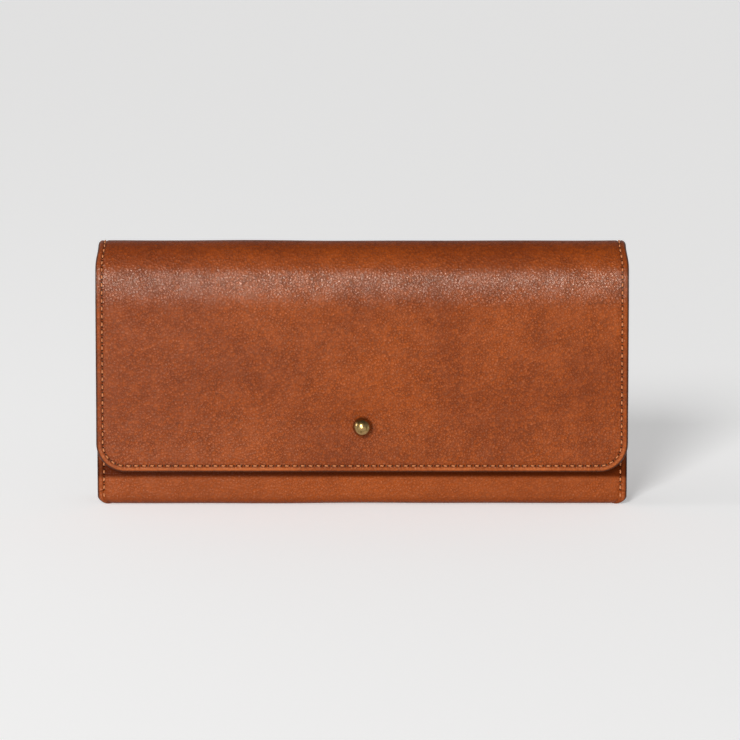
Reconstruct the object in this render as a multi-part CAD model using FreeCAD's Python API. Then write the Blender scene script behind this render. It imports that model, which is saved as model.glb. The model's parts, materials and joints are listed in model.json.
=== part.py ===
"""A long flap wallet.

It has a leather shell with a rolled spine, two gusseted compartments, a zipped coin pocket between them,
card slots on the back wall and a press stud that holds the flap.

Millimetres. +X runs along the wallet's length, +Y points to its back and +Z up. The wallet stands on its
base, and the origin is the centre of its bounding box at floor level.
"""

import FreeCAD, Part

import math
import os

# --- driving dimensions
HEIGHT = 101.0  # floor to the crown of the spine
SHELL_WIDTH = 203.2  # back panel, spine and flap
BODY_WIDTH = 202.0  # base and front panel

LEATHER = 1.0  # outer leather
BOARD = 0.6  # stiffener between leather and lining
LINING = 0.3
PANEL = LEATHER + BOARD + LINING

CARD_STRIP = 0.35  # leather of one card slot
CARD_STEP = 0.45  # one slot's leather and its air
CARD_ROWS = 4
COMPARTMENT = 4.4  # clear depth of each note compartment
POCKET_WALL = 0.7
POCKET_INSIDE = 6.4  # clear depth of the coin pocket between its leather walls
FLAP_GAP = 2.0  # between the front panel and the flap, where the press stud lies

STUD_BALL_R = 3.5
STUD_BALL_OUT = 2.1  # the ball's centre stands this far in front of the flap
THREAD_WIDTH = 0.5
THREAD_PROUD = 0.25

BASE_R = 3.0  # outer radius of the folds along the base
BODY_CORNER_R = 3.5  # rounding of the lower corners, seen from the front
FLAP_CORNER_R = 11.0
FLAP_EDGE_Z = 13.5  # lower edge of the flap
FRONT_TOP_Z = 86.0
STUD_Z = 31.3
SEAM_INSET = 2.6  # stitch line to the edge of the leather

POCKET_WIDTH = 194.0
POCKET_BOTTOM_Z = 4.0
POCKET_TOP_Z = 74.0
GUSSET = 0.6  # gusset leather
GUSSET_FOLD_X = 86.5  # how far in the gusset's folds reach, from the middle
GUSSET_TOP_Z = 82.0

# --- places that follow from them, front to back
SLOTS = CARD_ROWS * CARD_STEP
SLIP = CARD_STEP
DEPTH = 3 * PANEL + SLOTS + 2 * COMPARTMENT + 2 * POCKET_WALL + POCKET_INSIDE + SLIP + FLAP_GAP
STUD_PROUD = STUD_BALL_R + STUD_BALL_OUT
BACK_Y = (DEPTH + STUD_PROUD - THREAD_PROUD) / 2
FLAP_Y = BACK_Y - DEPTH
FLAP_INNER_Y = FLAP_Y + PANEL
FRONT_Y = FLAP_INNER_Y + FLAP_GAP
FRONT_INNER_Y = FRONT_Y + PANEL
BACK_INNER_Y = BACK_Y - PANEL
SLOTS_Y = BACK_INNER_Y - SLOTS
POCKET_BACK_Y = SLOTS_Y - COMPARTMENT
POCKET_FRONT_Y = POCKET_BACK_Y - 2 * POCKET_WALL - POCKET_INSIDE
POCKET_MID_Y = (POCKET_BACK_Y + POCKET_FRONT_Y) / 2

ROLL_R = DEPTH / 2
ROLL_Y = (BACK_Y + FLAP_Y) / 2
ROLL_Z = HEIGHT - ROLL_R
HINGE_ANGLES = (30.0, 90.0, 150.0)  # the spine's three fold lines, measured from the back over the top

SHELL_X = SHELL_WIDTH / 2
BODY_X = BODY_WIDTH / 2
POCKET_X = POCKET_WIDTH / 2
LINING_X = BODY_X - 0.6

made = {}


def keep(name, *solids):
    """Files one node: a single solid, or a group of separate ones."""
    made[name] = solids[0] if len(solids) == 1 else Part.makeCompound(list(solids))


def box(x0, x1, y0, y1, z0, z1):
    return Part.makeBox(x1 - x0, y1 - y0, z1 - z0, FreeCAD.Vector(x0, y0, z0))


def rod_y(radius, y0, y1, x=0.0, z=STUD_Z):
    """A round bar that runs front to back."""
    return Part.makeCylinder(radius, y1 - y0, FreeCAD.Vector(x, y0, z), FreeCAD.Vector(0, 1, 0))


def rounded_plate(half_x, z0, z1, r, y0, y1):
    """A plate facing front, with its two lower corners rounded."""
    k = r * (1 - math.sqrt(0.5))
    p = FreeCAD.Vector
    edges = [
        Part.makeLine(p(-half_x, y0, z1), p(-half_x, y0, z0 + r)),
        Part.Arc(p(-half_x, y0, z0 + r), p(-half_x + k, y0, z0 + k), p(-half_x + r, y0, z0)).toShape(),
        Part.makeLine(p(-half_x + r, y0, z0), p(half_x - r, y0, z0)),
        Part.Arc(p(half_x - r, y0, z0), p(half_x - k, y0, z0 + k), p(half_x, y0, z0 + r)).toShape(),
        Part.makeLine(p(half_x, y0, z0 + r), p(half_x, y0, z1)),
        Part.makeLine(p(half_x, y0, z1), p(-half_x, y0, z1)),
    ]
    return Part.Face(Part.Wire(edges)).extrude(p(0, y1 - y0, 0))


def roll_point(radius, angle):
    a = math.radians(angle)
    return FreeCAD.Vector(0, ROLL_Y + radius * math.cos(a), ROLL_Z + radius * math.sin(a))


def roll_arc(radius, a0, a1):
    middle = roll_point(radius, (a0 + a1) / 2)
    return Part.Arc(roll_point(radius, a0), middle, roll_point(radius, a1)).toShape()


def roll_band(r_in, r_out, a0, a1, x0, x1):
    """A stretch of the rolled spine between two angles, as wide as x0 to x1."""
    edges = [
        roll_arc(r_out, a0, a1),
        Part.makeLine(roll_point(r_out, a1), roll_point(r_in, a1)),
        roll_arc(r_in, a1, a0),
        Part.makeLine(roll_point(r_in, a0), roll_point(r_out, a0)),
    ]
    band = Part.Face(Part.Wire(edges)).extrude(FreeCAD.Vector(x1 - x0, 0, 0))
    band.translate(FreeCAD.Vector(x0, 0, 0))
    return band


def fold(y, z, radius, a0, a1):
    """An arc of the base's folds, about a line along X, with angles measured from the back."""
    def at(degrees):
        a = math.radians(degrees)
        return FreeCAD.Vector(0, y + radius * math.cos(a), z + radius * math.sin(a))

    return Part.Arc(at(a0), at((a0 + a1) / 2), at(a1)).toShape()


def joined(first, *others):
    shape = first
    for other in others:
        shape = shape.fuse(other)
    return shape.removeSplitter().Solids[0]


def seam_on_plate(half_x, z0, z1, r, y0, y1):
    """The stitch line down both sides of a plate and along its lower edge."""
    half = THREAD_WIDTH / 2
    outer = rounded_plate(half_x + half, z0 - half, z1, r + half, y0, y1)
    inner = rounded_plate(half_x - half, z0 + half, z1 + 1, r - half, y0 - 1, y1 + 1)
    return outer.cut(inner).Solids[0]


# --- shell: back panel, base and the spine's foot
def back_leather():
    """One piece of leather: front fold, base, back fold, back panel and the roll's first stretch."""
    p = FreeCAD.Vector
    front, back, inner_r = FRONT_Y + BASE_R, BACK_Y - BASE_R, BASE_R - LEATHER
    edges = [
        fold(front, BASE_R, BASE_R, 180, 270),
        Part.makeLine(p(0, front, 0), p(0, back, 0)),
        fold(back, BASE_R, BASE_R, 270, 360),
        Part.makeLine(p(0, BACK_Y, BASE_R), p(0, BACK_Y, ROLL_Z)),
        roll_arc(ROLL_R, 0, HINGE_ANGLES[0]),
        Part.makeLine(roll_point(ROLL_R, HINGE_ANGLES[0]), roll_point(ROLL_R - LEATHER, HINGE_ANGLES[0])),
        roll_arc(ROLL_R - LEATHER, HINGE_ANGLES[0], 0),
        Part.makeLine(p(0, BACK_Y - LEATHER, ROLL_Z), p(0, BACK_Y - LEATHER, BASE_R)),
        fold(back, BASE_R, inner_r, 360, 270),
        Part.makeLine(p(0, back, LEATHER), p(0, front, LEATHER)),
        fold(front, BASE_R, inner_r, 270, 180),
        Part.makeLine(p(0, FRONT_Y + LEATHER, BASE_R), p(0, FRONT_Y, BASE_R)),
    ]
    sheet = Part.Face(Part.Wire(edges)).extrude(p(SHELL_WIDTH, 0, 0))
    sheet.translate(p(-SHELL_X, 0, 0))
    base_outline = rounded_plate(BODY_X, 0, BASE_R + BODY_CORNER_R, BODY_CORNER_R, FRONT_Y - 1, BACK_Y + 1)
    upper = box(-SHELL_X, SHELL_X, BACK_INNER_Y - 1, BACK_Y + 1, BASE_R + BODY_CORNER_R, HEIGHT + 1)
    return sheet.common(base_outline.fuse(upper)).removeSplitter().Solids[0]


def lining_fold(half_x):
    """The lining where it turns from the back panel to the base."""
    p = FreeCAD.Vector
    y, outer_r, inner_r = BACK_Y - BASE_R, BASE_R - LEATHER - BOARD, BASE_R - PANEL
    edges = [
        fold(y, BASE_R, outer_r, 270, 360),
        Part.makeLine(p(0, y + outer_r, BASE_R), p(0, y + inner_r, BASE_R)),
        fold(y, BASE_R, inner_r, 360, 270),
        Part.makeLine(p(0, y, BASE_R - inner_r), p(0, y, BASE_R - outer_r)),
    ]
    band = Part.Face(Part.Wire(edges)).extrude(p(2 * half_x, 0, 0))
    band.translate(p(-half_x, 0, 0))
    return band


def build_shell():
    keep("back_panel_leather", back_leather())
    board_y = BACK_INNER_Y + LINING
    keep("back_panel_board", rounded_plate(SHELL_X - 1.5, BASE_R, ROLL_Z, 2.5, board_y, board_y + BOARD))
    base_x, base_front, base_back = BODY_X - BODY_CORNER_R, FRONT_Y + BASE_R, BACK_Y - BASE_R
    keep("base_board", box(-base_x, base_x, base_front, base_back, LEATHER, LEATHER + BOARD))
    keep(
        "back_panel_lining",
        joined(
            box(-LINING_X, LINING_X, BACK_INNER_Y, BACK_INNER_Y + LINING, BASE_R, ROLL_Z),
            lining_fold(base_x),
            box(-base_x, base_x, base_front, base_back, LEATHER + BOARD, PANEL),
            roll_band(ROLL_R - PANEL, ROLL_R - PANEL + LINING, 0, HINGE_ANGLES[0], -LINING_X, LINING_X),
        ),
    )
    seam_x = SHELL_X - SEAM_INSET
    sides = []
    for side in (-1, 1):
        x0, x1 = side * seam_x - THREAD_WIDTH / 2, side * seam_x + THREAD_WIDTH / 2
        straight = box(x0, x1, BACK_Y, BACK_Y + THREAD_PROUD, BASE_R + 2, ROLL_Z)
        bent = roll_band(ROLL_R, ROLL_R + THREAD_PROUD, 0, HINGE_ANGLES[0] - 3, x0, x1)
        sides.append(joined(straight, bent))
    keep("back_seam_thread", *sides)


# --- card slots on the back wall
CARD_STRIP_X = 88.0
CARD_TOP_Z = 80.0
CARD_RISE = 10.0  # each slot's mouth is this much below the one behind it
CARD_DEEP = 46.0  # mouth to the bottom of the slot
CARD_THREAD = 0.15


def build_card_slots():
    threads = []
    for row in range(CARD_ROWS):
        mouth = CARD_TOP_Z - row * CARD_RISE
        face = BACK_INNER_Y - (row + 1) * CARD_STEP
        strip = rounded_plate(CARD_STRIP_X, mouth - CARD_DEEP, mouth, 2.0, face, face + CARD_STRIP)
        keep(f"card_slot_{row + 1}", strip)
        last = row == CARD_ROWS - 1
        low = mouth - CARD_DEEP + 2 if last else mouth - CARD_RISE + 0.5
        threads.append(box(-THREAD_WIDTH / 2, THREAD_WIDTH / 2, face - CARD_THREAD, face, low, mouth - 1.5))
    keep("card_slot_thread", *threads)


# --- spine: the two stretches of the roll that turn between back and flap
def build_spine():
    stretches = {"spine_rear": HINGE_ANGLES[:2], "spine_front": HINGE_ANGLES[1:]}
    seam_x = SHELL_X - SEAM_INSET
    for name, (a0, a1) in stretches.items():
        keep(name + "_leather", roll_band(ROLL_R - LEATHER, ROLL_R, a0, a1, -SHELL_X, SHELL_X))
        lining = roll_band(ROLL_R - PANEL, ROLL_R - PANEL + LINING, a0, a1, -LINING_X, LINING_X)
        keep(name + "_lining", lining)
        sides = [
            roll_band(
                ROLL_R,
                ROLL_R + THREAD_PROUD,
                a0 + 3,
                a1 - 3,
                side * seam_x - THREAD_WIDTH / 2,
                side * seam_x + THREAD_WIDTH / 2,
            )
            for side in (-1, 1)
        ]
        keep(name + "_thread", *sides)


# --- flap
def build_flap():
    a0 = HINGE_ANGLES[2]
    shank_hole = rod_y(1.6, FLAP_Y - 1, FLAP_INNER_Y + 1)
    leather = joined(
        rounded_plate(SHELL_X, FLAP_EDGE_Z, ROLL_Z, FLAP_CORNER_R, FLAP_Y, FLAP_Y + LEATHER),
        roll_band(ROLL_R - LEATHER, ROLL_R, a0, 180, -SHELL_X, SHELL_X),
    )
    keep("flap_leather", leather.cut(shank_hole))
    inset, board_y = 1.5, FLAP_Y + LEATHER
    board = rounded_plate(
        SHELL_X - inset, FLAP_EDGE_Z + inset, ROLL_Z, FLAP_CORNER_R - inset, board_y, board_y + BOARD
    )
    keep("flap_board", board.cut(shank_hole))
    inset, lining_y = SHELL_X - LINING_X, FLAP_INNER_Y - LINING
    lining = joined(
        rounded_plate(LINING_X, FLAP_EDGE_Z + inset, ROLL_Z, FLAP_CORNER_R - inset, lining_y, FLAP_INNER_Y),
        roll_band(ROLL_R - PANEL, ROLL_R - PANEL + LINING, a0, 180, -LINING_X, LINING_X),
    )
    keep("flap_lining", lining.cut(shank_hole))
    seam_x = SHELL_X - SEAM_INSET
    seam = seam_on_plate(
        seam_x, FLAP_EDGE_Z + SEAM_INSET, ROLL_Z, FLAP_CORNER_R - SEAM_INSET, FLAP_Y - THREAD_PROUD, FLAP_Y
    )
    half = THREAD_WIDTH / 2
    bends = [
        roll_band(ROLL_R, ROLL_R + THREAD_PROUD, a0 + 3, 180, side * seam_x - half, side * seam_x + half)
        for side in (-1, 1)
    ]
    keep("flap_thread", joined(seam, *bends))


# --- press stud: ball cap and spring socket on the flap, stud and eyelet on the front panel
SHANK_R = 1.5
SOCKET_R = 5.0
SOCKET_THICK = 1.7
SOCKET_WELL_R = 2.4
SOCKET_WELL_DEEP = 1.3
SPRING_WIRE_R = 0.18
STUD_FLANGE_R = 4.5
STUD_FLANGE_THICK = 0.6
STUD_FLANGE_SUNK = 0.4
STUD_NUB_R = 1.7
STUD_NUB_LONG = 1.15
EYELET_R = 4.0
EYELET_SHANK_R = 1.0


def build_press_stud():
    well_y = FLAP_INNER_Y + SOCKET_THICK - SOCKET_WELL_DEEP
    ball = Part.makeSphere(STUD_BALL_R, FreeCAD.Vector(0, FLAP_Y - STUD_BALL_OUT, STUD_Z))
    ball = ball.cut(box(-5, 5, FLAP_Y, FLAP_Y + 5, STUD_Z - 5, STUD_Z + 5))
    keep("snap_ball_cap", joined(ball, rod_y(SHANK_R, FLAP_Y - 0.5, well_y)))

    socket = rod_y(SOCKET_R, FLAP_INNER_Y, FLAP_INNER_Y + SOCKET_THICK)
    socket = socket.cut(rod_y(SHANK_R, FLAP_INNER_Y - 1, well_y + 0.5))
    socket = socket.cut(rod_y(SOCKET_WELL_R, well_y, FLAP_INNER_Y + SOCKET_THICK + 1))
    keep("snap_socket", socket)
    spring_at = FreeCAD.Vector(0, FLAP_INNER_Y + SOCKET_THICK - 0.5, STUD_Z)
    spring = Part.makeTorus(SOCKET_WELL_R - SPRING_WIRE_R, SPRING_WIRE_R, spring_at, FreeCAD.Vector(0, 1, 0))
    keep("snap_socket_spring", spring)

    flange_back = FRONT_Y + STUD_FLANGE_SUNK
    flange_front = flange_back - STUD_FLANGE_THICK
    stud = joined(
        rod_y(STUD_FLANGE_R, flange_front, flange_back),
        rod_y(STUD_NUB_R, flange_front - STUD_NUB_LONG, flange_front),
    )
    keep("snap_stud", stud.cut(rod_y(EYELET_SHANK_R, flange_front - STUD_NUB_LONG + 0.4, flange_back + 1)))
    eyelet_face = FRONT_Y + LEATHER
    eyelet = joined(
        rod_y(EYELET_R, eyelet_face, eyelet_face + BOARD - 0.1),
        rod_y(EYELET_SHANK_R, flange_front - STUD_NUB_LONG + 0.4, eyelet_face),
    )
    keep("snap_eyelet", eyelet)


# --- front panel
def build_front_panel():
    face_y = FRONT_Y + LEATHER
    leather = box(-BODY_X, BODY_X, FRONT_Y, face_y, BASE_R, FRONT_TOP_Z)
    leather = leather.common(rounded_plate(BODY_X, 0, HEIGHT, BODY_CORNER_R, FRONT_Y - 1, face_y + 1))
    leather = leather.cut(rod_y(STUD_FLANGE_R + 0.1, FRONT_Y - 1, FRONT_Y + STUD_FLANGE_SUNK))
    keep("front_panel_leather", leather.cut(rod_y(EYELET_SHANK_R + 0.1, FRONT_Y - 1, FRONT_Y + LEATHER + 1)))
    board = rounded_plate(BODY_X - 1.5, BASE_R + 1, FRONT_TOP_Z - 1, 2.5, face_y, face_y + BOARD)
    keep("front_panel_board", board.cut(rod_y(EYELET_R + 0.1, FRONT_Y, FRONT_INNER_Y + 1)))
    inset, lining_y = BODY_X - LINING_X, FRONT_INNER_Y - LINING
    lining = rounded_plate(LINING_X, BASE_R + inset, FRONT_TOP_Z - inset, 3.0, lining_y, FRONT_INNER_Y)
    keep("front_panel_lining", lining)
    slip_y = FRONT_INNER_Y + SLIP - CARD_STRIP
    keep("front_slip_pocket", rounded_plate(CARD_STRIP_X, BASE_R + 2, 70.0, 2.0, slip_y, slip_y + CARD_STRIP))
    seam_x, top_z = BODY_X - SEAM_INSET, FRONT_TOP_Z - SEAM_INSET
    half = THREAD_WIDTH / 2
    bars = [
        box(-seam_x - half, -seam_x + half, FRONT_Y - THREAD_PROUD, FRONT_Y, BASE_R + 1.5, top_z + half),
        box(seam_x - half, seam_x + half, FRONT_Y - THREAD_PROUD, FRONT_Y, BASE_R + 1.5, top_z + half),
        box(-seam_x, seam_x, FRONT_Y - THREAD_PROUD, FRONT_Y, top_z - half, top_z + half),
    ]
    keep("front_panel_thread", joined(*bars))


# --- gussets: one folded strip of soft leather at each end
def ribbon(points, thickness, z0, z1):
    """A folded strip standing on edge: points are its middle line in plan, with mitred folds."""
    half = thickness / 2
    left, right = [], []
    for i, (x, y) in enumerate(points):
        normals = []
        for a, b in ((i - 1, i), (i, i + 1)):
            if a >= 0 and b < len(points):
                dx, dy = points[b][0] - points[a][0], points[b][1] - points[a][1]
                long = math.hypot(dx, dy)
                normals.append((-dy / long, dx / long))
        nx, ny = sum(n[0] for n in normals), sum(n[1] for n in normals)
        long = math.hypot(nx, ny)
        nx, ny = nx / long, ny / long
        reach = half / (nx * normals[0][0] + ny * normals[0][1])
        left.append(FreeCAD.Vector(x + nx * reach, y + ny * reach, z0))
        right.append(FreeCAD.Vector(x - nx * reach, y - ny * reach, z0))
    ring = left + right[::-1] + [left[0]]
    return Part.Face(Part.makePolygon(ring)).extrude(FreeCAD.Vector(0, 0, z1 - z0))


def build_gussets():
    clear = GUSSET / 2 + 0.05
    edge_x = BODY_X - 0.8
    crest_x = POCKET_X + 0.1 + GUSSET / 2
    back_fold = SLOTS_Y - 0.6
    front_fold = FRONT_INNER_Y + SLIP + 0.6
    side = [
        (edge_x, BACK_INNER_Y - clear),
        (GUSSET_FOLD_X, back_fold),
        (GUSSET_FOLD_X, back_fold - 0.9),
        (crest_x, POCKET_BACK_Y + clear),
        (crest_x, POCKET_FRONT_Y - clear),
        (GUSSET_FOLD_X, front_fold + 0.9),
        (GUSSET_FOLD_X, front_fold),
        (edge_x, FRONT_INNER_Y + clear),
    ]
    for name, sign in (("gusset_right", 1), ("gusset_left", -1)):
        keep(name, ribbon([(sign * x, y) for x, y in side], GUSSET, POCKET_BOTTOM_Z, GUSSET_TOP_Z))


# --- coin pocket with its zip
TAPE = 0.35
TAPE_X = 90.0
TAPE_Z = POCKET_TOP_Z + 1.0
TAPE_DROP = 9.0
COIL_X = 84.0
COIL_IN, COIL_OUT = 0.4, 2.0  # one strand's reach from the zip's middle line
COIL_THICK = 1.3
POCKET_LINING = 0.25


def build_coin_pocket():
    outer = rounded_plate(POCKET_X, POCKET_BOTTOM_Z, POCKET_TOP_Z, 3.0, POCKET_FRONT_Y, POCKET_BACK_Y)
    inside = box(
        -POCKET_X - 1,
        POCKET_X + 1,
        POCKET_FRONT_Y + POCKET_WALL,
        POCKET_BACK_Y - POCKET_WALL,
        POCKET_BOTTOM_Z + POCKET_WALL,
        POCKET_TOP_Z + 1,
    )
    keep("coin_pocket_leather", outer.cut(inside))
    bag_x, bag_z0, bag_z1 = POCKET_X - 3, POCKET_BOTTOM_Z + POCKET_WALL, TAPE_Z - TAPE_DROP
    y0, y1 = POCKET_FRONT_Y + POCKET_WALL, POCKET_BACK_Y - POCKET_WALL
    bag = box(-bag_x, bag_x, y0, y1, bag_z0, bag_z1)
    thick = POCKET_LINING
    hollow = box(-bag_x - 1, bag_x + 1, y0 + thick, y1 - thick, bag_z0 + thick, bag_z1 + 1)
    keep("coin_pocket_lining", bag.cut(hollow))
    seam_x, seam_z = POCKET_X - 6, POCKET_TOP_Z - 2.2
    z0, z1 = seam_z - THREAD_WIDTH / 2, seam_z + THREAD_WIDTH / 2
    keep(
        "coin_pocket_thread",
        box(-seam_x, seam_x, POCKET_BACK_Y, POCKET_BACK_Y + CARD_THREAD, z0, z1),
        box(-seam_x, seam_x, POCKET_FRONT_Y - CARD_THREAD, POCKET_FRONT_Y, z0, z1),
    )


def build_zip():
    wall_in = POCKET_INSIDE / 2
    for name, sign in (("rear", 1), ("front", -1)):
        def across(near, far, x, z0, z1):
            ys = sorted((POCKET_MID_Y + sign * near, POCKET_MID_Y + sign * far))
            return box(-x, x, ys[0], ys[1], z0, z1)

        flat = across(COIL_IN, wall_in, TAPE_X, TAPE_Z, TAPE_Z + TAPE)
        hang = across(wall_in - TAPE, wall_in, TAPE_X, TAPE_Z - TAPE_DROP, TAPE_Z + TAPE)
        keep(f"zip_tape_{name}", joined(flat, hang))
        coil_z = TAPE_Z + TAPE
        keep(f"zip_coil_{name}", across(COIL_IN, COIL_OUT, COIL_X, coil_z, coil_z + COIL_THICK))
    stop_z0, stop_z1 = TAPE_Z + TAPE, TAPE_Z + TAPE + COIL_THICK + 0.1
    near, far, end = COIL_IN, COIL_OUT + 0.15, COIL_X + 2.0
    keep(
        "zip_stops",
        box(COIL_X, end, POCKET_MID_Y + near, POCKET_MID_Y + far, stop_z0, stop_z1),
        box(COIL_X, end, POCKET_MID_Y - far, POCKET_MID_Y - near, stop_z0, stop_z1),
        box(-end, -COIL_X, POCKET_MID_Y - far, POCKET_MID_Y + far, stop_z0, stop_z1),
    )


SLIDER_X = 79.0  # where the slider stands with the zip closed
SLIDER_LONG = 8.0
SLIDER_PLATE = 1.0
SLIDER_CLEAR = 0.15
BAIL_IN_R, BAIL_OUT_R = 1.2, 1.9
BAIL_WIDE = 1.6
PULL_LONG = 15.0
PULL_THICK = 1.0
PULL_PIVOT_Z = TAPE_Z + TAPE + COIL_THICK + SLIDER_CLEAR + SLIDER_PLATE + 0.75


def build_slider():
    x0, x1 = SLIDER_X - SLIDER_LONG / 2, SLIDER_X + SLIDER_LONG / 2
    top_z = TAPE_Z + TAPE + COIL_THICK + SLIDER_CLEAR
    low_z = TAPE_Z - SLIDER_CLEAR
    top = box(x0, x1, POCKET_MID_Y - 3.2, POCKET_MID_Y + 3.2, top_z, top_z + SLIDER_PLATE)
    flanges = [
        box(x0, x1, POCKET_MID_Y + a, POCKET_MID_Y + b, TAPE_Z + TAPE + SLIDER_CLEAR, top_z)
        for a, b in ((-3.2, -COIL_OUT - 0.2), (COIL_OUT + 0.2, 3.2))
    ]
    bottom = box(x0, x1, POCKET_MID_Y - 2.6, POCKET_MID_Y + 2.6, low_z - 0.9, low_z)
    post = box(SLIDER_X + 1.5, SLIDER_X + 3.0, POCKET_MID_Y - 0.25, POCKET_MID_Y + 0.25, low_z, top_z)
    keep("zip_slider_body", joined(top, *flanges, bottom, post))

    p = FreeCAD.Vector
    y0 = POCKET_MID_Y - BAIL_WIDE / 2
    foot_z = top_z + SLIDER_PLATE

    def at(radius, angle):
        a = math.radians(angle)
        return p(SLIDER_X + radius * math.cos(a), y0, PULL_PIVOT_Z + radius * math.sin(a))

    def foot(x):
        return p(SLIDER_X + x, y0, foot_z)

    edges = [
        Part.makeLine(foot(BAIL_OUT_R), at(BAIL_OUT_R, 0)),
        Part.Arc(at(BAIL_OUT_R, 0), at(BAIL_OUT_R, 90), at(BAIL_OUT_R, 180)).toShape(),
        Part.makeLine(at(BAIL_OUT_R, 180), foot(-BAIL_OUT_R)),
        Part.makeLine(foot(-BAIL_OUT_R), foot(-BAIL_IN_R)),
        Part.makeLine(foot(-BAIL_IN_R), at(BAIL_IN_R, 180)),
        Part.Arc(at(BAIL_IN_R, 180), at(BAIL_IN_R, 90), at(BAIL_IN_R, 0)).toShape(),
        Part.makeLine(at(BAIL_IN_R, 0), foot(BAIL_IN_R)),
        Part.makeLine(foot(BAIL_IN_R), foot(BAIL_OUT_R)),
    ]
    keep("zip_slider_bail", Part.Face(Part.Wire(edges)).extrude(p(0, BAIL_WIDE, 0)))


def build_pull():
    """A flat tab that lies along the closed zip. The bail passes through its window."""
    z0, z1 = PULL_PIVOT_Z - PULL_THICK / 2, PULL_PIVOT_Z + PULL_THICK / 2
    x_pivot, window_end = SLIDER_X, 2.6
    neck = box(x_pivot - 6, x_pivot, POCKET_MID_Y - 2.1, POCKET_MID_Y + 2.1, z0, z1)
    blade = box(x_pivot - PULL_LONG + 2.6, x_pivot - 5, POCKET_MID_Y - 2.6, POCKET_MID_Y + 2.6, z0, z1)
    tip = Part.makeCylinder(2.6, PULL_THICK, FreeCAD.Vector(x_pivot - PULL_LONG + 2.6, POCKET_MID_Y, z0))
    bar = rod_y(PULL_THICK / 2, POCKET_MID_Y - 2.1, POCKET_MID_Y + 2.1, x_pivot, PULL_PIVOT_Z)
    window = box(x_pivot - window_end, x_pivot + 1, POCKET_MID_Y - 1.1, POCKET_MID_Y + 1.1, z0 - 1, z1 + 1)
    arms = joined(neck, blade, tip).cut(window)
    keep("zip_pull_tab", joined(arms, bar))


build_shell()
build_card_slots()
build_spine()
build_flap()
build_press_stud()
build_front_panel()
build_gussets()
build_coin_pocket()
build_zip()
build_slider()
build_pull()

os.makedirs("parts", exist_ok=True)
for node, shape in made.items():
    assert shape.isValid(), node
    shape.exportStep(os.path.join("parts", node + ".step"))
    print(f"{node}: {len(shape.Solids)} solid(s), {shape.Volume:.1f} mm3")
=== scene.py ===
import json
import math
import random

import bmesh
import bpy
import numpy as np
from mathutils import Matrix, Vector

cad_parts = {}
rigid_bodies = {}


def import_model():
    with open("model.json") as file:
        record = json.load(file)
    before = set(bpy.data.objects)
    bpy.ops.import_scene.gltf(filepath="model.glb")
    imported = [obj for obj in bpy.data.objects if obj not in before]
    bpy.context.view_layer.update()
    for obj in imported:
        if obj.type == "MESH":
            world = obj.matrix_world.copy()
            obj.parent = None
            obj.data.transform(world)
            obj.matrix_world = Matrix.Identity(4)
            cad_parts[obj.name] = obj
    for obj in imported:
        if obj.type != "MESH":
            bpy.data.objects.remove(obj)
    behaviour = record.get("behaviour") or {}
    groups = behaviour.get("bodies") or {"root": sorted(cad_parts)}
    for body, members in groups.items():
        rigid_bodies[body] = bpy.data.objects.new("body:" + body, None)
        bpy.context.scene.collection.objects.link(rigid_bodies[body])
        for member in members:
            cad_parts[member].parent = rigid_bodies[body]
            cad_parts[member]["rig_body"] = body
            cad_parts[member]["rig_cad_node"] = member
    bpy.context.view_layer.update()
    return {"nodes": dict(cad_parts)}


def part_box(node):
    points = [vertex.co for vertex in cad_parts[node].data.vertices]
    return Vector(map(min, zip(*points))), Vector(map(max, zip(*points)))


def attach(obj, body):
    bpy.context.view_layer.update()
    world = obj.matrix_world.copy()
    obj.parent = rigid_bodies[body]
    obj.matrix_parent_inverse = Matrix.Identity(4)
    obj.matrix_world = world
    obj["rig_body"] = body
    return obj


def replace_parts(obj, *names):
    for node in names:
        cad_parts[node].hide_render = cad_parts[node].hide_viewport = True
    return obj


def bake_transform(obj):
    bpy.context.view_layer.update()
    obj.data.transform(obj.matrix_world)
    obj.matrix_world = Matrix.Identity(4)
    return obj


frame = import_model()
MM = 0.001


# ---- Studio: a pale sweep of paper, one soft sun beside the camera, a window far to the left ----
# The wallet stands on the paper. The camera looks from just above, through a long lens. A low box in front
# lights the gloss on the roll, and the air is bright at the horizon and dark overhead.
def deselect_all():
    for chosen in list(bpy.context.selected_objects):
        chosen.select_set(False)


CAMERA_FAR = 2.4
CAMERA_HEIGHT = math.radians(9.5)
VIEW_WIDTH = 283.4 * MM
aim = Vector((3.0 * MM, 0, 51.2 * MM))

camera_data = bpy.data.cameras.new("camera")
camera_data.sensor_width = 36
camera_data.lens = camera_data.sensor_width * CAMERA_FAR / VIEW_WIDTH
camera_data.clip_end = 20
camera = bpy.data.objects.new("camera", camera_data)
bpy.context.scene.collection.objects.link(camera)
towards_camera = Vector((0, -math.cos(CAMERA_HEIGHT), math.sin(CAMERA_HEIGHT)))
camera.location = aim + towards_camera * CAMERA_FAR
camera.rotation_euler = (-towards_camera).to_track_quat("-Z", "Y").to_euler()
bpy.context.scene.camera = camera
bpy.context.scene.view_settings.view_transform = "Standard"

world = bpy.data.worlds.new("studio_air")
bpy.context.scene.world = world
world.use_nodes = True
air = world.node_tree
looking = air.nodes.new("ShaderNodeTexCoord")
upwards = air.nodes.new("ShaderNodeSeparateXYZ")
overhead = air.nodes.new("ShaderNodeMapRange")
overhead.inputs["From Min"].default_value = 0.1
overhead.inputs["From Max"].default_value = 0.8
overhead.inputs["To Min"].default_value = 0.57
overhead.inputs["To Max"].default_value = 0.12
air.links.new(looking.outputs["Generated"], upwards.inputs[0])
air.links.new(upwards.outputs["Z"], overhead.inputs["Value"])
air.links.new(overhead.outputs["Result"], air.nodes["Background"].inputs["Strength"])
air.nodes["Background"].inputs["Color"].default_value = (1.0, 0.99, 0.98, 1)


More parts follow.
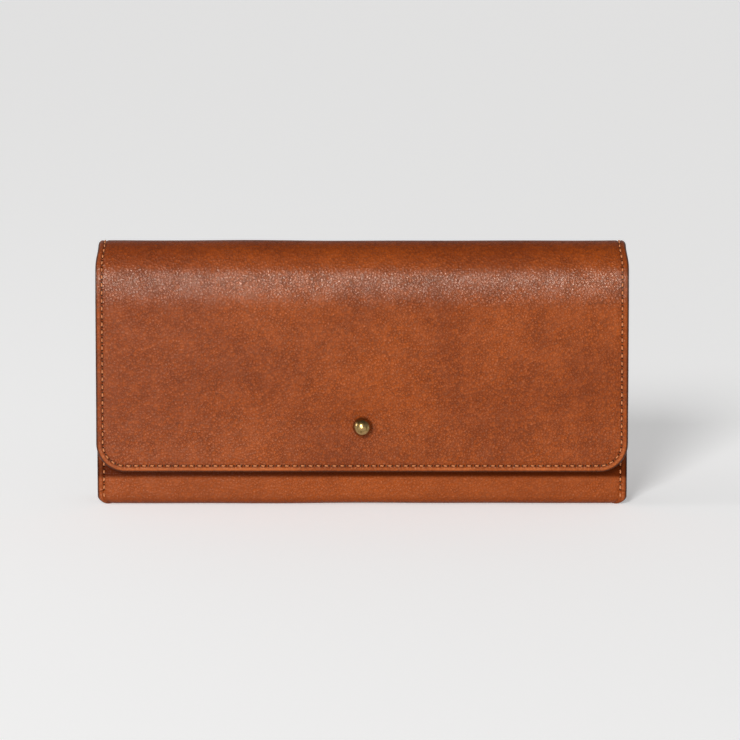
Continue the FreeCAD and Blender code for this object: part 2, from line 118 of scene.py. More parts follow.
def hang_light(name, kind, azimuth, height, far, strength):
    """A light that looks at the wallet. Azimuth 0 is in front, and grows to the right."""
    light = bpy.data.lights.new(name, kind)
    light.energy = strength
    lamp = bpy.data.objects.new(name, light)
    bpy.context.scene.collection.objects.link(lamp)
    a, h = math.radians(azimuth), math.radians(height)
    out = Vector((math.sin(a) * math.cos(h), -math.cos(a) * math.cos(h), math.sin(h)))
    lamp.location = Vector((0, 0, 50 * MM)) + out * far
    lamp.rotation_euler = out.to_track_quat("Z", "Y").to_euler()
    return light


key = hang_light("key_sun", "SUN", -14, 24, 2, 2.45)
key.angle = math.radians(14)
low_box = hang_light("low_box", "AREA", -8, 3, 1.6, 9.5)
low_box.shape = "RECTANGLE"
low_box.size = 0.5
low_box.size_y = 0.13
window = hang_light("side_window", "AREA", -82, 20, 1.1, 2.2)
window.size = 0.3

deselect_all()
bpy.ops.mesh.primitive_plane_add(size=8, location=(0, 0, 0))
paper = bpy.context.object
paper.name = "paper_floor"
paper_look = bpy.data.materials.new("paper")
paper_look.use_nodes = True
paper_shader = paper_look.node_tree.nodes["Principled BSDF"]
paper_grain = paper_look.node_tree.nodes.new("ShaderNodeTexNoise")
paper_grain.inputs["Scale"].default_value = 3
paper_tint = paper_look.node_tree.nodes.new("ShaderNodeValToRGB")
paper_tint.color_ramp.elements[0].color = (0.80, 0.80, 0.80, 1)
paper_tint.color_ramp.elements[1].color = (0.84, 0.84, 0.835, 1)
paper_look.node_tree.links.new(paper_grain.outputs["Fac"], paper_tint.inputs["Fac"])
paper_look.node_tree.links.new(paper_tint.outputs["Color"], paper_shader.inputs["Base Color"])
paper_shader.inputs["Roughness"].default_value = 0.8
paper_shader.inputs["Specular IOR Level"].default_value = 0.2
paper_shader.inputs["Emission Color"].default_value = (1, 1, 1, 1)
paper_shader.inputs["Emission Strength"].default_value = 0.3
paper.data.materials.append(paper_look)


# ---- Outer leather: one hide in four cuts, folded round from the front's mouth to the flap's edge ----
# Cognac full-grain leather, 1 mm, over pulp board. It is cut flat, its edges are turned and stitched, and
# it is folded at the base and rolled over the spine.
flap_low, flap_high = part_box("flap_leather")
BACK_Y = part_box("back_panel_leather")[1].y
front_low, front_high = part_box("front_panel_leather")

LEATHER = 1.0 * MM
WALL = 1.9 * MM
FLAP_Y = flap_low.y
FRONT_Y = front_low.y
ROLL_R = (BACK_Y - FLAP_Y) / 2
ROLL_Y = (BACK_Y + FLAP_Y) / 2
ROLL_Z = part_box("spine_rear_leather")[1].z - ROLL_R
BASE_R = front_low.z
SHELL_HALF = flap_high.x
BODY_HALF = front_high.x
FLAP_CORNER = 11 * MM
LOW_CORNER = 3.5 * MM
ball_low, ball_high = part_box("snap_ball_cap")
STUD_Z = (ball_low.z + ball_high.z) / 2

# The hide's length is measured from the front panel's mouth: down the front, under the base, up the back,
# over the roll and down the flap.
FRONT_END = front_high.z - BASE_R
FOLD_LONG = BASE_R * math.pi / 2
BASE_START = FRONT_END + FOLD_LONG
BASE_END = BASE_START + (BACK_Y - FRONT_Y - 2 * BASE_R)
BACK_START = BASE_END + FOLD_LONG
ROLL_START = BACK_START + ROLL_Z - BASE_R
ROLL_END = ROLL_START + ROLL_R * math.pi
FLAP_END = ROLL_END + ROLL_Z - flap_low.z


def fold(s, h):
    """Where a point of the hide goes: s along it, h above its outer face. Gives y and z."""
    s, h = np.asarray(s, float), np.asarray(h, float)
    y, z = np.zeros_like(s), np.zeros_like(s)

    def place(where, at_y, at_z):
        y[where], z[where] = at_y[where], at_z[where]

    place(s <= FRONT_END, FRONT_Y - h, front_high.z - s)
    a = np.pi + (s - FRONT_END) / BASE_R
    place(
        (s > FRONT_END) & (s <= BASE_START),
        FRONT_Y + BASE_R + (BASE_R + h) * np.cos(a),
        BASE_R + (BASE_R + h) * np.sin(a),
    )
    place((s > BASE_START) & (s <= BASE_END), FRONT_Y + BASE_R + s - BASE_START, -h)
    a = 1.5 * np.pi + (s - BASE_END) / BASE_R
    place(
        (s > BASE_END) & (s <= BACK_START),
        BACK_Y - BASE_R + (BASE_R + h) * np.cos(a),
        BASE_R + (BASE_R + h) * np.sin(a),
    )
    place((s > BACK_START) & (s <= ROLL_START), BACK_Y + h, BASE_R + s - BACK_START)
    a = (s - ROLL_START) / ROLL_R
    place(
        (s > ROLL_START) & (s <= ROLL_END),
        ROLL_Y + (ROLL_R + h) * np.cos(a),
        ROLL_Z + (ROLL_R + h) * np.sin(a),
    )
    place(s > ROLL_END, FLAP_Y - h, ROLL_Z - (s - ROLL_END))
    return y, z


def half_width(s):
    """Half the wallet's width at s: the base and front are a little narrower, with rounded lower corners."""
    z = np.clip(fold(s, np.zeros_like(s))[1], 0, None)
    rise = np.clip((z - 2 * MM) / (9 * MM), 0, 1)
    body = BODY_HALF + 0.4 * MM
    full = np.where(s > BASE_END, body + (SHELL_HALF - body) * rise, body)
    low = np.clip(LOW_CORNER - z, 0, LOW_CORNER)
    return full - (LOW_CORNER - np.sqrt(LOW_CORNER**2 - low**2))


def smooth(t):
    t = np.clip(t, 0, 1)
    return t * t * (3 - 2 * t)


def crown_pull(s):
    """The roll draws the sides in by a millimetre at the crown."""
    middle = (ROLL_START + ROLL_END) / 2
    return 1 - 0.009 * np.exp(-(((s - middle) / MM / 11) ** 4))


def stance(x, s):
    """How the filled wallet stands: the flap leans in under the roll, and bellies out below it."""
    lean = -1.4 * np.exp(-(((s - ROLL_END) / MM + 6) / 11) ** 2)
    belly = 0.7 * np.exp(-(((s - ROLL_END) / MM - 38) / 22) ** 2)
    across = 1 - 0.6 * np.clip(np.abs(x) / SHELL_HALF, 0, 1) ** 6
    spring = 1.2 * smooth(((s - FLAP_END) / MM + 26) / 26)
    return MM * ((lean + belly) * across + spring) * smooth((s - SPINE_CUT) / (12 * MM))


def slack(x, s):
    """How soft leather lies over its board: long low waves, and the pull of the press stud."""
    wave = 0.10 * np.sin(x / (31 * MM) + 0.7) * np.sin(s / (23 * MM) + 1.1)
    wave += 0.06 * np.sin(x / (13 * MM) + s / (19 * MM))
    wave += 0.05 * np.sin(x / (8.5 * MM) - s / (27 * MM) + 2.0)
    on_flap = smooth((s - ROLL_END) / (20 * MM))
    stud_s = ROLL_END + ROLL_Z - STUD_Z
    away = np.hypot(x, s - stud_s) / MM
    dimple = -0.62 * np.exp(-((away / 5.2) ** 2)) - 0.16 * np.exp(-((away / 12) ** 2))
    return MM * (wave - 0.12 + on_flap * dimple)


# Millimetres in from the edge: where the rings of the rim lie.
# Then how high its outer face and its turned face stand there.
RIM = [0.12, 0.3, 0.55, 0.85, 1.2, 1.6, 1.95, 2.25, 2.5, 2.75, 3.05, 3.45, 4.1, 5.2, 6.6]
RIM_HEIGHTS = [
    (0, -0.95), (0.12, -0.58), (0.3, -0.32), (0.55, -0.12), (0.85, 0.03), (1.2, 0.13), (1.6, 0.14),
    (1.95, 0.0), (2.25, -0.27), (2.5, -0.42), (2.75, -0.38), (3.05, -0.22), (3.45, -0.07), (4.1, 0.0),
]
TURNED_HEIGHTS = [
    (0, -1.15), (0.12, -1.45), (0.3, -1.64), (0.55, -1.74), (0.85, -1.78), (1.2, -1.78), (1.6, -1.05),
]
SEAM_IN = 2.5 * MM
STITCH = 3.03 * MM
STITCH_REACH = 0.86 * MM  # from the middle of a stitch to its needle holes
RIM_DEPTH = RIM[-1] * MM
END_SPARE = 9 * MM  # how far a cut runs past the place where it meets the next
OFF_SEAM = 9 * MM  # stored where no seam is near
WALL_GAP = 2.6 * MM  # between rows of points on a flat wall,
FOLD_GAP = 0.5 * MM  # on the folds at the base
ROLL_GAP = 0.9 * MM  # and on the roll
CUT_CLOSE = 1e-7  # a cut this near to a point uses the point
WELD = 1e-6  # points this near to each other become one


def edge_distance(x, s, half, ends, corner):
    """How far a point of a cut is from its edge. Ends that run on into the next cut have no edge."""
    side = half - np.abs(x)
    d = side.copy()
    for end, inward in ends:
        along = (s - end) * inward
        near = np.minimum(side, along)
        both = (side < corner) & (along < corner)
        near = np.where(both, corner - np.hypot(corner - side, corner - along), near)
        d = np.minimum(d, near)
    return d


def seam_place(x, s, half, ends, corner):
    """Distance along the stitch line, from the middle of the closed end, or from the flap's end."""
    if not ends:
        end, inward = FLAP_END, -1
        corner = FLAP_CORNER
    else:
        end, inward = ends[0]
    side, along = half - np.abs(x), (s - end) * inward
    round_r = max(corner - SEAM_IN, 0)
    turn = np.arctan2(np.clip(corner - side, 0, None), np.clip(corner - along, 1e-9, None))
    across_end = np.abs(x)
    in_corner = half - corner + round_r * turn
    up_side = half - corner + round_r * math.pi / 2 + (along - corner)
    place = np.where((side < corner) & (along < corner), in_corner, across_end)
    by_side = (along >= corner) & (side < along + half)
    return np.where(by_side & (side < corner + 4 * MM), up_side, place)


def cut_flat(name, half, s_low, s_high, ends, corner, lines, thick=LEATHER, rings=tuple(RIM), gap=2.6):
    """A cut of sheet, flat on the table: X across, Y along it. Its edge gets close rings, for its rim."""
    deselect_all()
    closed = [place for place, inward in ends]
    low = s_low if s_low in closed else s_low - END_SPARE
    high = s_high if s_high in closed else s_high + END_SPARE
    bpy.ops.mesh.primitive_plane_add(size=1, location=(0, (low + high) / 2, 0))
    hide = bpy.context.object
    hide.name = name
    hide.scale = (2 * half, high - low, 1)
    bpy.ops.object.transform_apply(location=True, rotation=False, scale=True)
    bpy.ops.object.mode_set(mode="EDIT")
    if corner:
        mesh = bmesh.from_edit_mesh(hide.data)
        for v in mesh.verts:
            v.select = any(abs(v.co.y - end) < MM for end in closed)
        mesh.select_flush(False)
        bmesh.update_edit_mesh(hide.data)
        bpy.ops.mesh.bevel(affect="VERTICES", offset=corner, segments=14, profile=0.5)
    bpy.ops.mesh.select_all(action="SELECT")
    last = 0
    for ring in rings:
        bpy.ops.mesh.inset(thickness=(ring - last) * MM, depth=0, use_boundary=True, use_even_offset=True)
        last = ring
    for end in (s_low, s_high):
        if end not in closed:
            outwards = -1 if end == s_low else 1
            bpy.ops.mesh.select_all(action="SELECT")
            bpy.ops.mesh.bisect(
                plane_co=(0, end, 0), plane_no=(0, outwards, 0), clear_outer=True, threshold=CUT_CLOSE
            )
    inner = half - rings[-1] * MM
    columns = np.linspace(-inner, inner, int(2 * inner / (gap * MM)))[1:-1]
    for x in columns:
        bpy.ops.mesh.select_all(action="SELECT")
        bpy.ops.mesh.bisect(plane_co=(x, 0, 0), plane_no=(1, 0, 0), threshold=CUT_CLOSE)
    for s in lines:
        bpy.ops.mesh.select_all(action="SELECT")
        bpy.ops.mesh.bisect(plane_co=(0, s, 0), plane_no=(0, 1, 0), threshold=CUT_CLOSE)
    bpy.ops.object.mode_set(mode="OBJECT")
    thickness = hide.modifiers.new("thickness", "SOLIDIFY")
    thickness.thickness = thick
    thickness.offset = -1
    bpy.ops.object.modifier_apply(modifier=thickness.name)
    return hide


def from_points(name, points, edges, faces):
    """A new piece from its points, selected and active."""
    mesh = bpy.data.meshes.new(name)
    mesh.from_pydata(points, edges, faces)
    piece = bpy.data.objects.new(name, mesh)
    bpy.context.scene.collection.objects.link(piece)
    deselect_all()
    piece.select_set(True)
    bpy.context.view_layer.objects.active = piece
    return piece


def face_outwards():
    """Turns the active piece's faces outwards."""
    bpy.ops.object.mode_set(mode="EDIT")
    bpy.ops.mesh.select_all(action="SELECT")
    bpy.ops.mesh.normals_make_consistent(inside=False)
    bpy.ops.object.mode_set(mode="OBJECT")


def points_of(piece):
    co = np.zeros(len(piece.data.vertices) * 3)
    piece.data.vertices.foreach_get("co", co)
    return co.reshape(-1, 3)


def set_points(piece, co):
    piece.data.vertices.foreach_set("co", np.asarray(co, float).ravel())
    piece.data.update()


def mark(piece, name, values):
    """Stores a vector at each vertex, for the piece's material to read."""
    layer = piece.data.attributes.new(name, "FLOAT_VECTOR", "POINT")
    layer.data.foreach_set("vector", np.asarray(values, np.float32).ravel())


def shape_leather(hide, half, ends, corner):
    """Turns the flat cut's edges, lets it lie soft, and folds it round the wallet."""
    co = points_of(hide)
    x, s = co[:, 0], co[:, 1]
    outer = co[:, 2] > -0.5 * LEATHER
    d = edge_distance(x, s, half, ends, corner) / MM
    rim, turned = np.array(RIM_HEIGHTS), np.array(TURNED_HEIGHTS)
    h = np.where(outer, np.interp(d, rim[:, 0], rim[:, 1]), np.interp(d, turned[:, 0], turned[:, 1])) * MM
    lying = slack(x, s) * smooth((d - 0.6) / 4)
    h += np.where(outer, lying, 0)
    on_roll = smooth((s - ROLL_START) / (6 * MM)) * smooth((ROLL_END - s) / (6 * MM))
    h -= on_roll * 0.55 * MM * np.clip(1 - d / 4.5, 0, 1) ** 2
    y, z = fold(s, h + stance(x, s))
    set_points(hide, np.column_stack([x * half_width(s) / half * crown_pull(s), y, z]))
    mark(hide, "hide", np.column_stack([x, s, np.where(outer, 0, -LEATHER)]))
    along = seam_place(x, s, half, ends, corner)
    sewn = (s < FRONT_END - 0.5 * MM) | (s > BACK_START + 3 * MM)
    across = np.where(sewn, d * MM - SEAM_IN, OFF_SEAM)
    mark(hide, "seam", np.column_stack([along, across, d * MM]))
    bpy.ops.object.shade_smooth_by_angle(angle=math.radians(50))


def steps(start, end, gap):
    return list(np.linspace(start, end, max(2, int(round((end - start) / gap)) + 1))[1:-1])


ROLL_THIRD = ROLL_R * math.pi / 3
SPINE_CUT = ROLL_START + ROLL_THIRD
FLAP_CUT = ROLL_START + 2 * ROLL_THIRD
BASE_CUT = (BASE_START + BASE_END) / 2
fold_lines = steps(FRONT_END, BASE_START, FOLD_GAP)
CUTS = {
    "front_leather": dict(
        half=BODY_HALF,
        s_low=0.0,
        s_high=BASE_CUT,
        ends=[(0.0, 1)],
        corner=0,
        lines=steps(RIM_DEPTH, FRONT_END, WALL_GAP) + [FRONT_END] + fold_lines + [BASE_START],
    ),
    "back_leather": dict(
        half=SHELL_HALF,
        s_low=BASE_CUT,
        s_high=SPINE_CUT,
        ends=[],
        corner=0,
        lines=[BASE_END, *steps(BASE_END, BACK_START, FOLD_GAP), BACK_START]
        + steps(BACK_START, ROLL_START, WALL_GAP)
        + [ROLL_START, *steps(ROLL_START, SPINE_CUT, ROLL_GAP)],
    ),
    "spine_leather": dict(
        half=SHELL_HALF,
        s_low=SPINE_CUT,
        s_high=FLAP_CUT,
        ends=[],
        corner=0,
        lines=steps(SPINE_CUT, FLAP_CUT, ROLL_GAP),
    ),
    "flap_leather_face": dict(
        half=SHELL_HALF,
        s_low=FLAP_CUT,
        s_high=FLAP_END,
        ends=[(FLAP_END, -1)],
        corner=FLAP_CORNER,
        lines=steps(FLAP_CUT, ROLL_END, ROLL_GAP)
        + [ROLL_END]
        + steps(ROLL_END, FLAP_END - RIM_DEPTH, 2.2 * MM),
    ),
}


def group(name, inputs, outputs):
    """A shader node group with named sockets. Returns the group, its input node and its output node."""
    tree = bpy.data.node_groups.new(name, "ShaderNodeTree")
    for socket, kind, value in inputs:
        made = tree.interface.new_socket(socket, in_out="INPUT", socket_type=kind)
        if value is not None:
            made.default_value = value
    for socket, kind in outputs:
        tree.interface.new_socket(socket, in_out="OUTPUT", socket_type=kind)
    return tree, tree.nodes.new("NodeGroupInput"), tree.nodes.new("NodeGroupOutput")


def new_look(name):
    """A fresh node material, with its tree and its shader."""
    look = bpy.data.materials.new(name)
    look.use_nodes = True
    return look, look.node_tree, look.node_tree.nodes["Principled BSDF"]


def stored(tree, name):
    """Reads a vector that mark stored on the piece."""
    node = tree.nodes.new("ShaderNodeAttribute")
    node.attribute_name = name
    return node


def emboss(tree, shader, relief, depth):
    """Raises the shader's surface by a relief of 0 to 1, at full depth in metres."""
    node = tree.nodes.new("ShaderNodeBump")
    node.inputs["Distance"].default_value = depth
    tree.links.new(relief, node.inputs["Height"])
    tree.links.new(node.outputs["Normal"], shader.inputs["Normal"])
    return node.outputs["Normal"]


def math_node(tree, operation, *values):
    """A Math node. Each value is a number or a socket to link."""
    node = tree.nodes.new("ShaderNodeMath")
    node.operation = operation
    for i, value in enumerate(values):
        if isinstance(value, (int, float)):
            node.inputs[i].default_value = value
        else:
            tree.links.new(value, node.inputs[i])
    return node.outputs[0]


def noise(tree, place, scale, detail=2.0, roughness=0.5, distortion=0.0):
    node = tree.nodes.new("ShaderNodeTexNoise")
    node.inputs["Scale"].default_value = scale
    node.inputs["Detail"].default_value = detail
    node.inputs["Roughness"].default_value = roughness
    node.inputs["Distortion"].default_value = distortion
    tree.links.new(place, node.inputs["Vector"])
    return node.outputs["Fac"]


def remap(tree, value, low, high, to_low=0.0, to_high=1.0):
    node = tree.nodes.new("ShaderNodeMapRange")
    node.interpolation_type = "SMOOTHSTEP"
    tree.links.new(value, node.inputs["Value"])
    for name, number in (("From Min", low), ("From Max", high), ("To Min", to_low), ("To Max", to_high)):
        node.inputs[name].default_value = number
    return node.outputs["Result"]


def mix(tree, fac, a, b):
    node = tree.nodes.new("ShaderNodeMix")
    node.data_type = "RGBA"
    sockets = [s for s in node.inputs if s.type == "RGBA"]
    if isinstance(fac, (int, float)):
        node.inputs[0].default_value = fac
    else:
        tree.links.new(fac, node.inputs[0])
    for socket, value in zip(sockets, (a, b)):
        if isinstance(value, tuple):
            socket.default_value = (*value, 1)
        else:
            tree.links.new(value, socket)
    return [s for s in node.outputs if s.type == "RGBA"][0]


def build_grain_group():
    """Pebbled full-grain leather: creases between small pebbles, a finer crackle over them, and pores."""
    tree, put, out = group(
        "hide_grain",
        [("Place", "NodeSocketVector", None), ("Pebble mm", "NodeSocketFloat", 1.1)],
        [(name, "NodeSocketFloat") for name in ("Height", "Crease", "Mottle", "Each")],
    )
    warp = tree.nodes.new("ShaderNodeTexNoise")
    warp.inputs["Scale"].default_value = 420
    warp.inputs["Detail"].default_value = 2
    tree.links.new(put.outputs["Place"], warp.inputs["Vector"])
    bent = tree.nodes.new("ShaderNodeVectorMath")
    bent.operation = "MULTIPLY_ADD"
    bent.inputs[1].default_value = (0.0006, 0.0006, 0.0006)
    tree.links.new(warp.outputs["Color"], bent.inputs[0])
    tree.links.new(put.outputs["Place"], bent.inputs[2])
    per_metre = math_node(tree, "DIVIDE", 1000.0, put.outputs["Pebble mm"])

    def pebbles(feature, scale):
        cell = tree.nodes.new("ShaderNodeTexVoronoi")
        cell.feature = feature
        tree.links.new(bent.outputs[0], cell.inputs["Vector"])
        tree.links.new(scale, cell.inputs["Scale"])
        return cell

    finer = math_node(tree, "MULTIPLY", per_metre, 1.9)
    pebble = pebbles("F1", per_metre)
    domes = remap(tree, pebble.outputs["Distance"], 0.0, 0.75, 1.0, 0.0)
    gaps = remap(tree, pebbles("DISTANCE_TO_EDGE", per_metre).outputs["Distance"], 0.0, 0.13)
    fine_gaps = remap(tree, pebbles("DISTANCE_TO_EDGE", finer).outputs["Distance"], 0.0, 0.16)
    each = tree.nodes.new("ShaderNodeSeparateXYZ")
    tree.links.new(pebble.outputs["Color"], each.inputs[0])
    uneven = remap(tree, noise(tree, put.outputs["Place"], 130, 3), 0.3, 0.7, 0.55, 1.0)
    pores = noise(tree, put.outputs["Place"], 2300, 2, 0.7)
    round_tops = math_node(tree, "MULTIPLY", domes, 0.5)
    height = math_node(tree, "ADD", round_tops, math_node(tree, "MULTIPLY", gaps, 0.3))
    height = math_node(tree, "MULTIPLY", height, uneven)
    height = math_node(tree, "ADD", height, math_node(tree, "MULTIPLY", fine_gaps, 0.14))
    height = math_node(tree, "ADD", height, math_node(tree, "MULTIPLY", pores, 0.22))
    crease = math_node(tree, "SUBTRACT", 1.0, gaps)
    crease = math_node(tree, "MAXIMUM", crease, math_node(tree, "SUBTRACT", 0.6, fine_gaps))
    crease = math_node(tree, "MULTIPLY", crease, uneven)
    mottle = math_node(
        tree,
        "ADD",
        math_node(tree, "MULTIPLY", noise(tree, put.outputs["Place"], 17, 3, 0.55, 0.5), 0.6),
        math_node(tree, "MULTIPLY", noise(tree, put.outputs["Place"], 700, 3, 0.8), 0.4),
    )
    tree.links.new(each.outputs["X"], out.inputs["Each"])
    tree.links.new(height, out.inputs["Height"])
    tree.links.new(crease, out.inputs["Crease"])
    tree.links.new(mottle, out.inputs["Mottle"])
    return tree


def build_seam_group():
    """What a row of stitches does to leather: a needle hole every stitch, and a pucker drawn down at each."""
    tree, put, out = group(
        "seam_pull",
        [
            ("Seam", "NodeSocketVector", None),
            ("Stitch mm", "NodeSocketFloat", STITCH / MM),
            ("Reach mm", "NodeSocketFloat", STITCH_REACH / MM),
        ],
        [("Height", "NodeSocketFloat"), ("Hole", "NodeSocketFloat"), ("Press", "NodeSocketFloat")],
    )
    split = tree.nodes.new("ShaderNodeSeparateXYZ")
    tree.links.new(put.outputs["Seam"], split.inputs[0])
    along = math_node(tree, "MULTIPLY", split.outputs["X"], 1000.0)
    across = math_node(tree, "MULTIPLY", split.outputs["Y"], 1000.0)
    turn = math_node(tree, "FRACT", math_node(tree, "DIVIDE", along, put.outputs["Stitch mm"]))
    from_middle = math_node(tree, "ABSOLUTE", math_node(tree, "SUBTRACT", turn, 0.5))
    from_middle = math_node(tree, "MULTIPLY", from_middle, put.outputs["Stitch mm"])
    along_mm = math_node(tree, "ABSOLUTE", math_node(tree, "SUBTRACT", from_middle, put.outputs["Reach mm"]))
    reach = math_node(
        tree,
        "SQRT",
        math_node(
            tree,
            "ADD",
            math_node(tree, "MULTIPLY", along_mm, along_mm),
            math_node(tree, "MULTIPLY", across, across),
        ),
    )
    hole = remap(tree, reach, 0.18, 0.46, 1.0, 0.0)
    near = remap(tree, math_node(tree, "ABSOLUTE", across), 0.0, 1.3, 1.0, 0.0)
    pucker = math_node(tree, "MULTIPLY", near, remap(tree, along_mm, 0.0, 1.3, 1.0, 0.0))
    tree.links.new(math_node(tree, "MULTIPLY", pucker, -1.0), out.inputs["Height"])
    tree.links.new(hole, out.inputs["Hole"])
    tree.links.new(near, out.inputs["Press"])
    return tree


GRAIN = build_grain_group()
SEAM = build_seam_group()
TAN_DARK = (0.080, 0.0125, 0.0018)
TAN_DEEP = (0.142, 0.0220, 0.0026)
TAN_MID = (0.215, 0.0350, 0.0038)
TAN_LIGHT = (0.283, 0.054, 0.0058)
# The next tan, a hazier and bluer one, is a painted sheen colour for the left part of the hide.
TAN_LEFT_SHEEN = (0.190, 0.0345, 0.0080)
# The pale tan below serves worn edges, and also a painted highlight on the outer leather's rims.
TAN_WORN_AND_HIGHLIT = (0.40, 0.105, 0.026)
BURNT = (0.022, 0.005, 0.002)


def outer_leather_look():
    """Cognac leather with a wax finish: mottled, darker in creases (partly painted shade) and by seams, pale
    on the rims (partly worn, partly a painted highlight), with a painted shadow under the flap's edge,
    painted shade at the base, painted light on the front panel and a painted sheen on the left.
    """
    look, tree, shader = new_look("cognac_leather")
    hide = stored(tree, "hide")
    seam = stored(tree, "seam")
    grain = tree.nodes.new("ShaderNodeGroup")
    grain.node_tree = GRAIN
    tree.links.new(hide.outputs["Vector"], grain.inputs["Place"])
    pull = tree.nodes.new("ShaderNodeGroup")
    pull.node_tree = SEAM
    tree.links.new(seam.outputs["Vector"], pull.inputs["Seam"])

    stretched = tree.nodes.new("ShaderNodeGroup")
    stretched.node_tree = GRAIN
    stretched.inputs["Pebble mm"].default_value = 2.3
    tree.links.new(hide.outputs["Vector"], stretched.inputs["Place"])
    tone = mix(tree, remap(tree, grain.outputs["Mottle"], 0.36, 0.64), TAN_DEEP, TAN_LIGHT)
    tone = mix(tree, 0.2, tone, TAN_MID)
    side = tree.nodes.new("ShaderNodeSeparateXYZ")
    tree.links.new(hide.outputs["Vector"], side.inputs[0])
    # Painted sheen: the left part of the hide is mixed towards a hazier, bluer tan, standing in for the sheen
    # of the window light from the left.
    painted_left_sheen = remap(tree, side.outputs["X"], -0.1, 0.02, 0.6, 0.0)
    tone = mix(tree, painted_left_sheen, tone, TAN_LEFT_SHEEN)
    on_bend = math_node(
        tree,
        "MULTIPLY",
        remap(tree, side.outputs["Y"], ROLL_END - 6 * MM, ROLL_END),
        remap(tree, side.outputs["Y"], ROLL_END - MM, ROLL_END + 12 * MM, 1.0, 0.0),
    )
    # Darker in the grain's creases: partly the leather's own tone, partly painted shade in them.
    tone = mix(tree, math_node(tree, "MULTIPLY", grain.outputs["Crease"], 0.8), tone, TAN_DARK)
    tone = mix(tree, remap(tree, grain.outputs["Each"], 0.0, 0.5, 0.28, 0.0), tone, TAN_DARK)
    tone = mix(tree, remap(tree, grain.outputs["Each"], 0.5, 1.0, 0.0, 0.3), tone, TAN_LIGHT)
    # On the bend the stretched grain's creases are darkened too: partly their own tone, partly painted shade.
    bend_creases_and_shade = math_node(tree, "MULTIPLY", stretched.outputs["Crease"], on_bend)
    tone = mix(tree, math_node(tree, "MULTIPLY", bend_creases_and_shade, 0.8), tone, TAN_DARK)
    edge_of_flap = front_high.z - flap_low.z
    # Painted shade: darker on the fold at the base and across the underside, where the hide turns away from
    # the light.
    painted_base_shade = remap(tree, side.outputs["Y"], BASE_START - 8 * MM, BASE_START - MM, 0.0, 0.4)
    off_back = remap(tree, side.outputs["Y"], BASE_END, BACK_START, 1.0, 0.0)
    painted_base_shade = math_node(tree, "MULTIPLY", painted_base_shade, off_back)
    # Painted light: the whole front panel is lightened, standing in for light bounced up from the floor.
    painted_front_light = remap(tree, side.outputs["Y"], BASE_START - 4 * MM, BASE_START, 0.35, 0.0)
    tone = mix(tree, painted_front_light, tone, TAN_LIGHT)
    tone = mix(tree, painted_base_shade, tone, TAN_DARK)
    # Painted shadow: a dark band on the front panel under and just below the flap's edge, where the flap
    # casts its shadow.
    painted_flap_shadow = math_node(
        tree,
        "MULTIPLY",
        remap(tree, side.outputs["Y"], edge_of_flap - 9 * MM, edge_of_flap - MM),
        remap(tree, side.outputs["Y"], edge_of_flap + 1.9 * MM, edge_of_flap + 3.6 * MM, 0.9, 0.0),
    )
    tone = mix(tree, painted_flap_shadow, tone, (0.05, 0.007, 0.001))
    veins = tree.nodes.new("ShaderNodeTexVoronoi")
    veins.feature = "DISTANCE_TO_EDGE"
    veins.inputs["Scale"].default_value = 52
    vein_warp = tree.nodes.new("ShaderNodeTexNoise")
    vein_warp.inputs["Scale"].default_value = 70
    vein_warp.inputs["Detail"].default_value = 4
    tree.links.new(hide.outputs["Vector"], vein_warp.inputs["Vector"])
    vein_place = tree.nodes.new("ShaderNodeVectorMath")
    vein_place.operation = "MULTIPLY_ADD"
    vein_place.inputs[1].default_value = (0.022, 0.022, 0.022)
    tree.links.new(vein_warp.outputs["Color"], vein_place.inputs[0])
    tree.links.new(hide.outputs["Vector"], vein_place.inputs[2])
    tree.links.new(vein_place.outputs[0], veins.inputs["Vector"])
    vein = remap(tree, veins.outputs["Distance"], 0.0, 0.03, 1.0, 0.0)
    in_places = remap(tree, noise(tree, hide.outputs["Vector"], 26, 2), 0.5, 0.66)
    vein = math_node(tree, "MULTIPLY", vein, in_places)
    tone = mix(tree, math_node(tree, "MULTIPLY", vein, 0.2), tone, TAN_DARK)
    tone = mix(tree, math_node(tree, "MULTIPLY", pull.outputs["Press"], 0.2), tone, TAN_DARK)
    edge = tree.nodes.new("ShaderNodeSeparateXYZ")
    tree.links.new(seam.outputs["Vector"], edge.inputs[0])
    # Pale rims between the edge and the stitch line: partly worn, partly a painted highlight, strongest along
    # the flap's lower edge where the rounded rim faces the light.
    rim_wear_and_highlight = math_node(
        tree,
        "MULTIPLY",
        remap(tree, edge.outputs["Z"], 0.0004, 0.0011),
        remap(tree, edge.outputs["Z"], 0.0014, 0.0021, 1.0, 0.0),
    )
    rim_wear_and_highlight = math_node(tree, "MULTIPLY", rim_wear_and_highlight, remap(tree, grain.outputs["Mottle"], 0.4, 0.6, 0.25, 0.75))
    highlight_at_flap_end = remap(tree, side.outputs["Y"], FLAP_END - 14 * MM, FLAP_END - 7 * MM, 0.15, 1.0)
    rim_wear_and_highlight = math_node(tree, "MULTIPLY", rim_wear_and_highlight, highlight_at_flap_end)
    tone = mix(tree, rim_wear_and_highlight, tone, TAN_WORN_AND_HIGHLIT)
    burnished = remap(tree, edge.outputs["Z"], 0.0002, 0.001, 0.9, 0.0)
    tone = mix(tree, burnished, tone, BURNT)
    tone = mix(tree, pull.outputs["Hole"], tone, BURNT)
    tree.links.new(tone, shader.inputs["Base Color"])

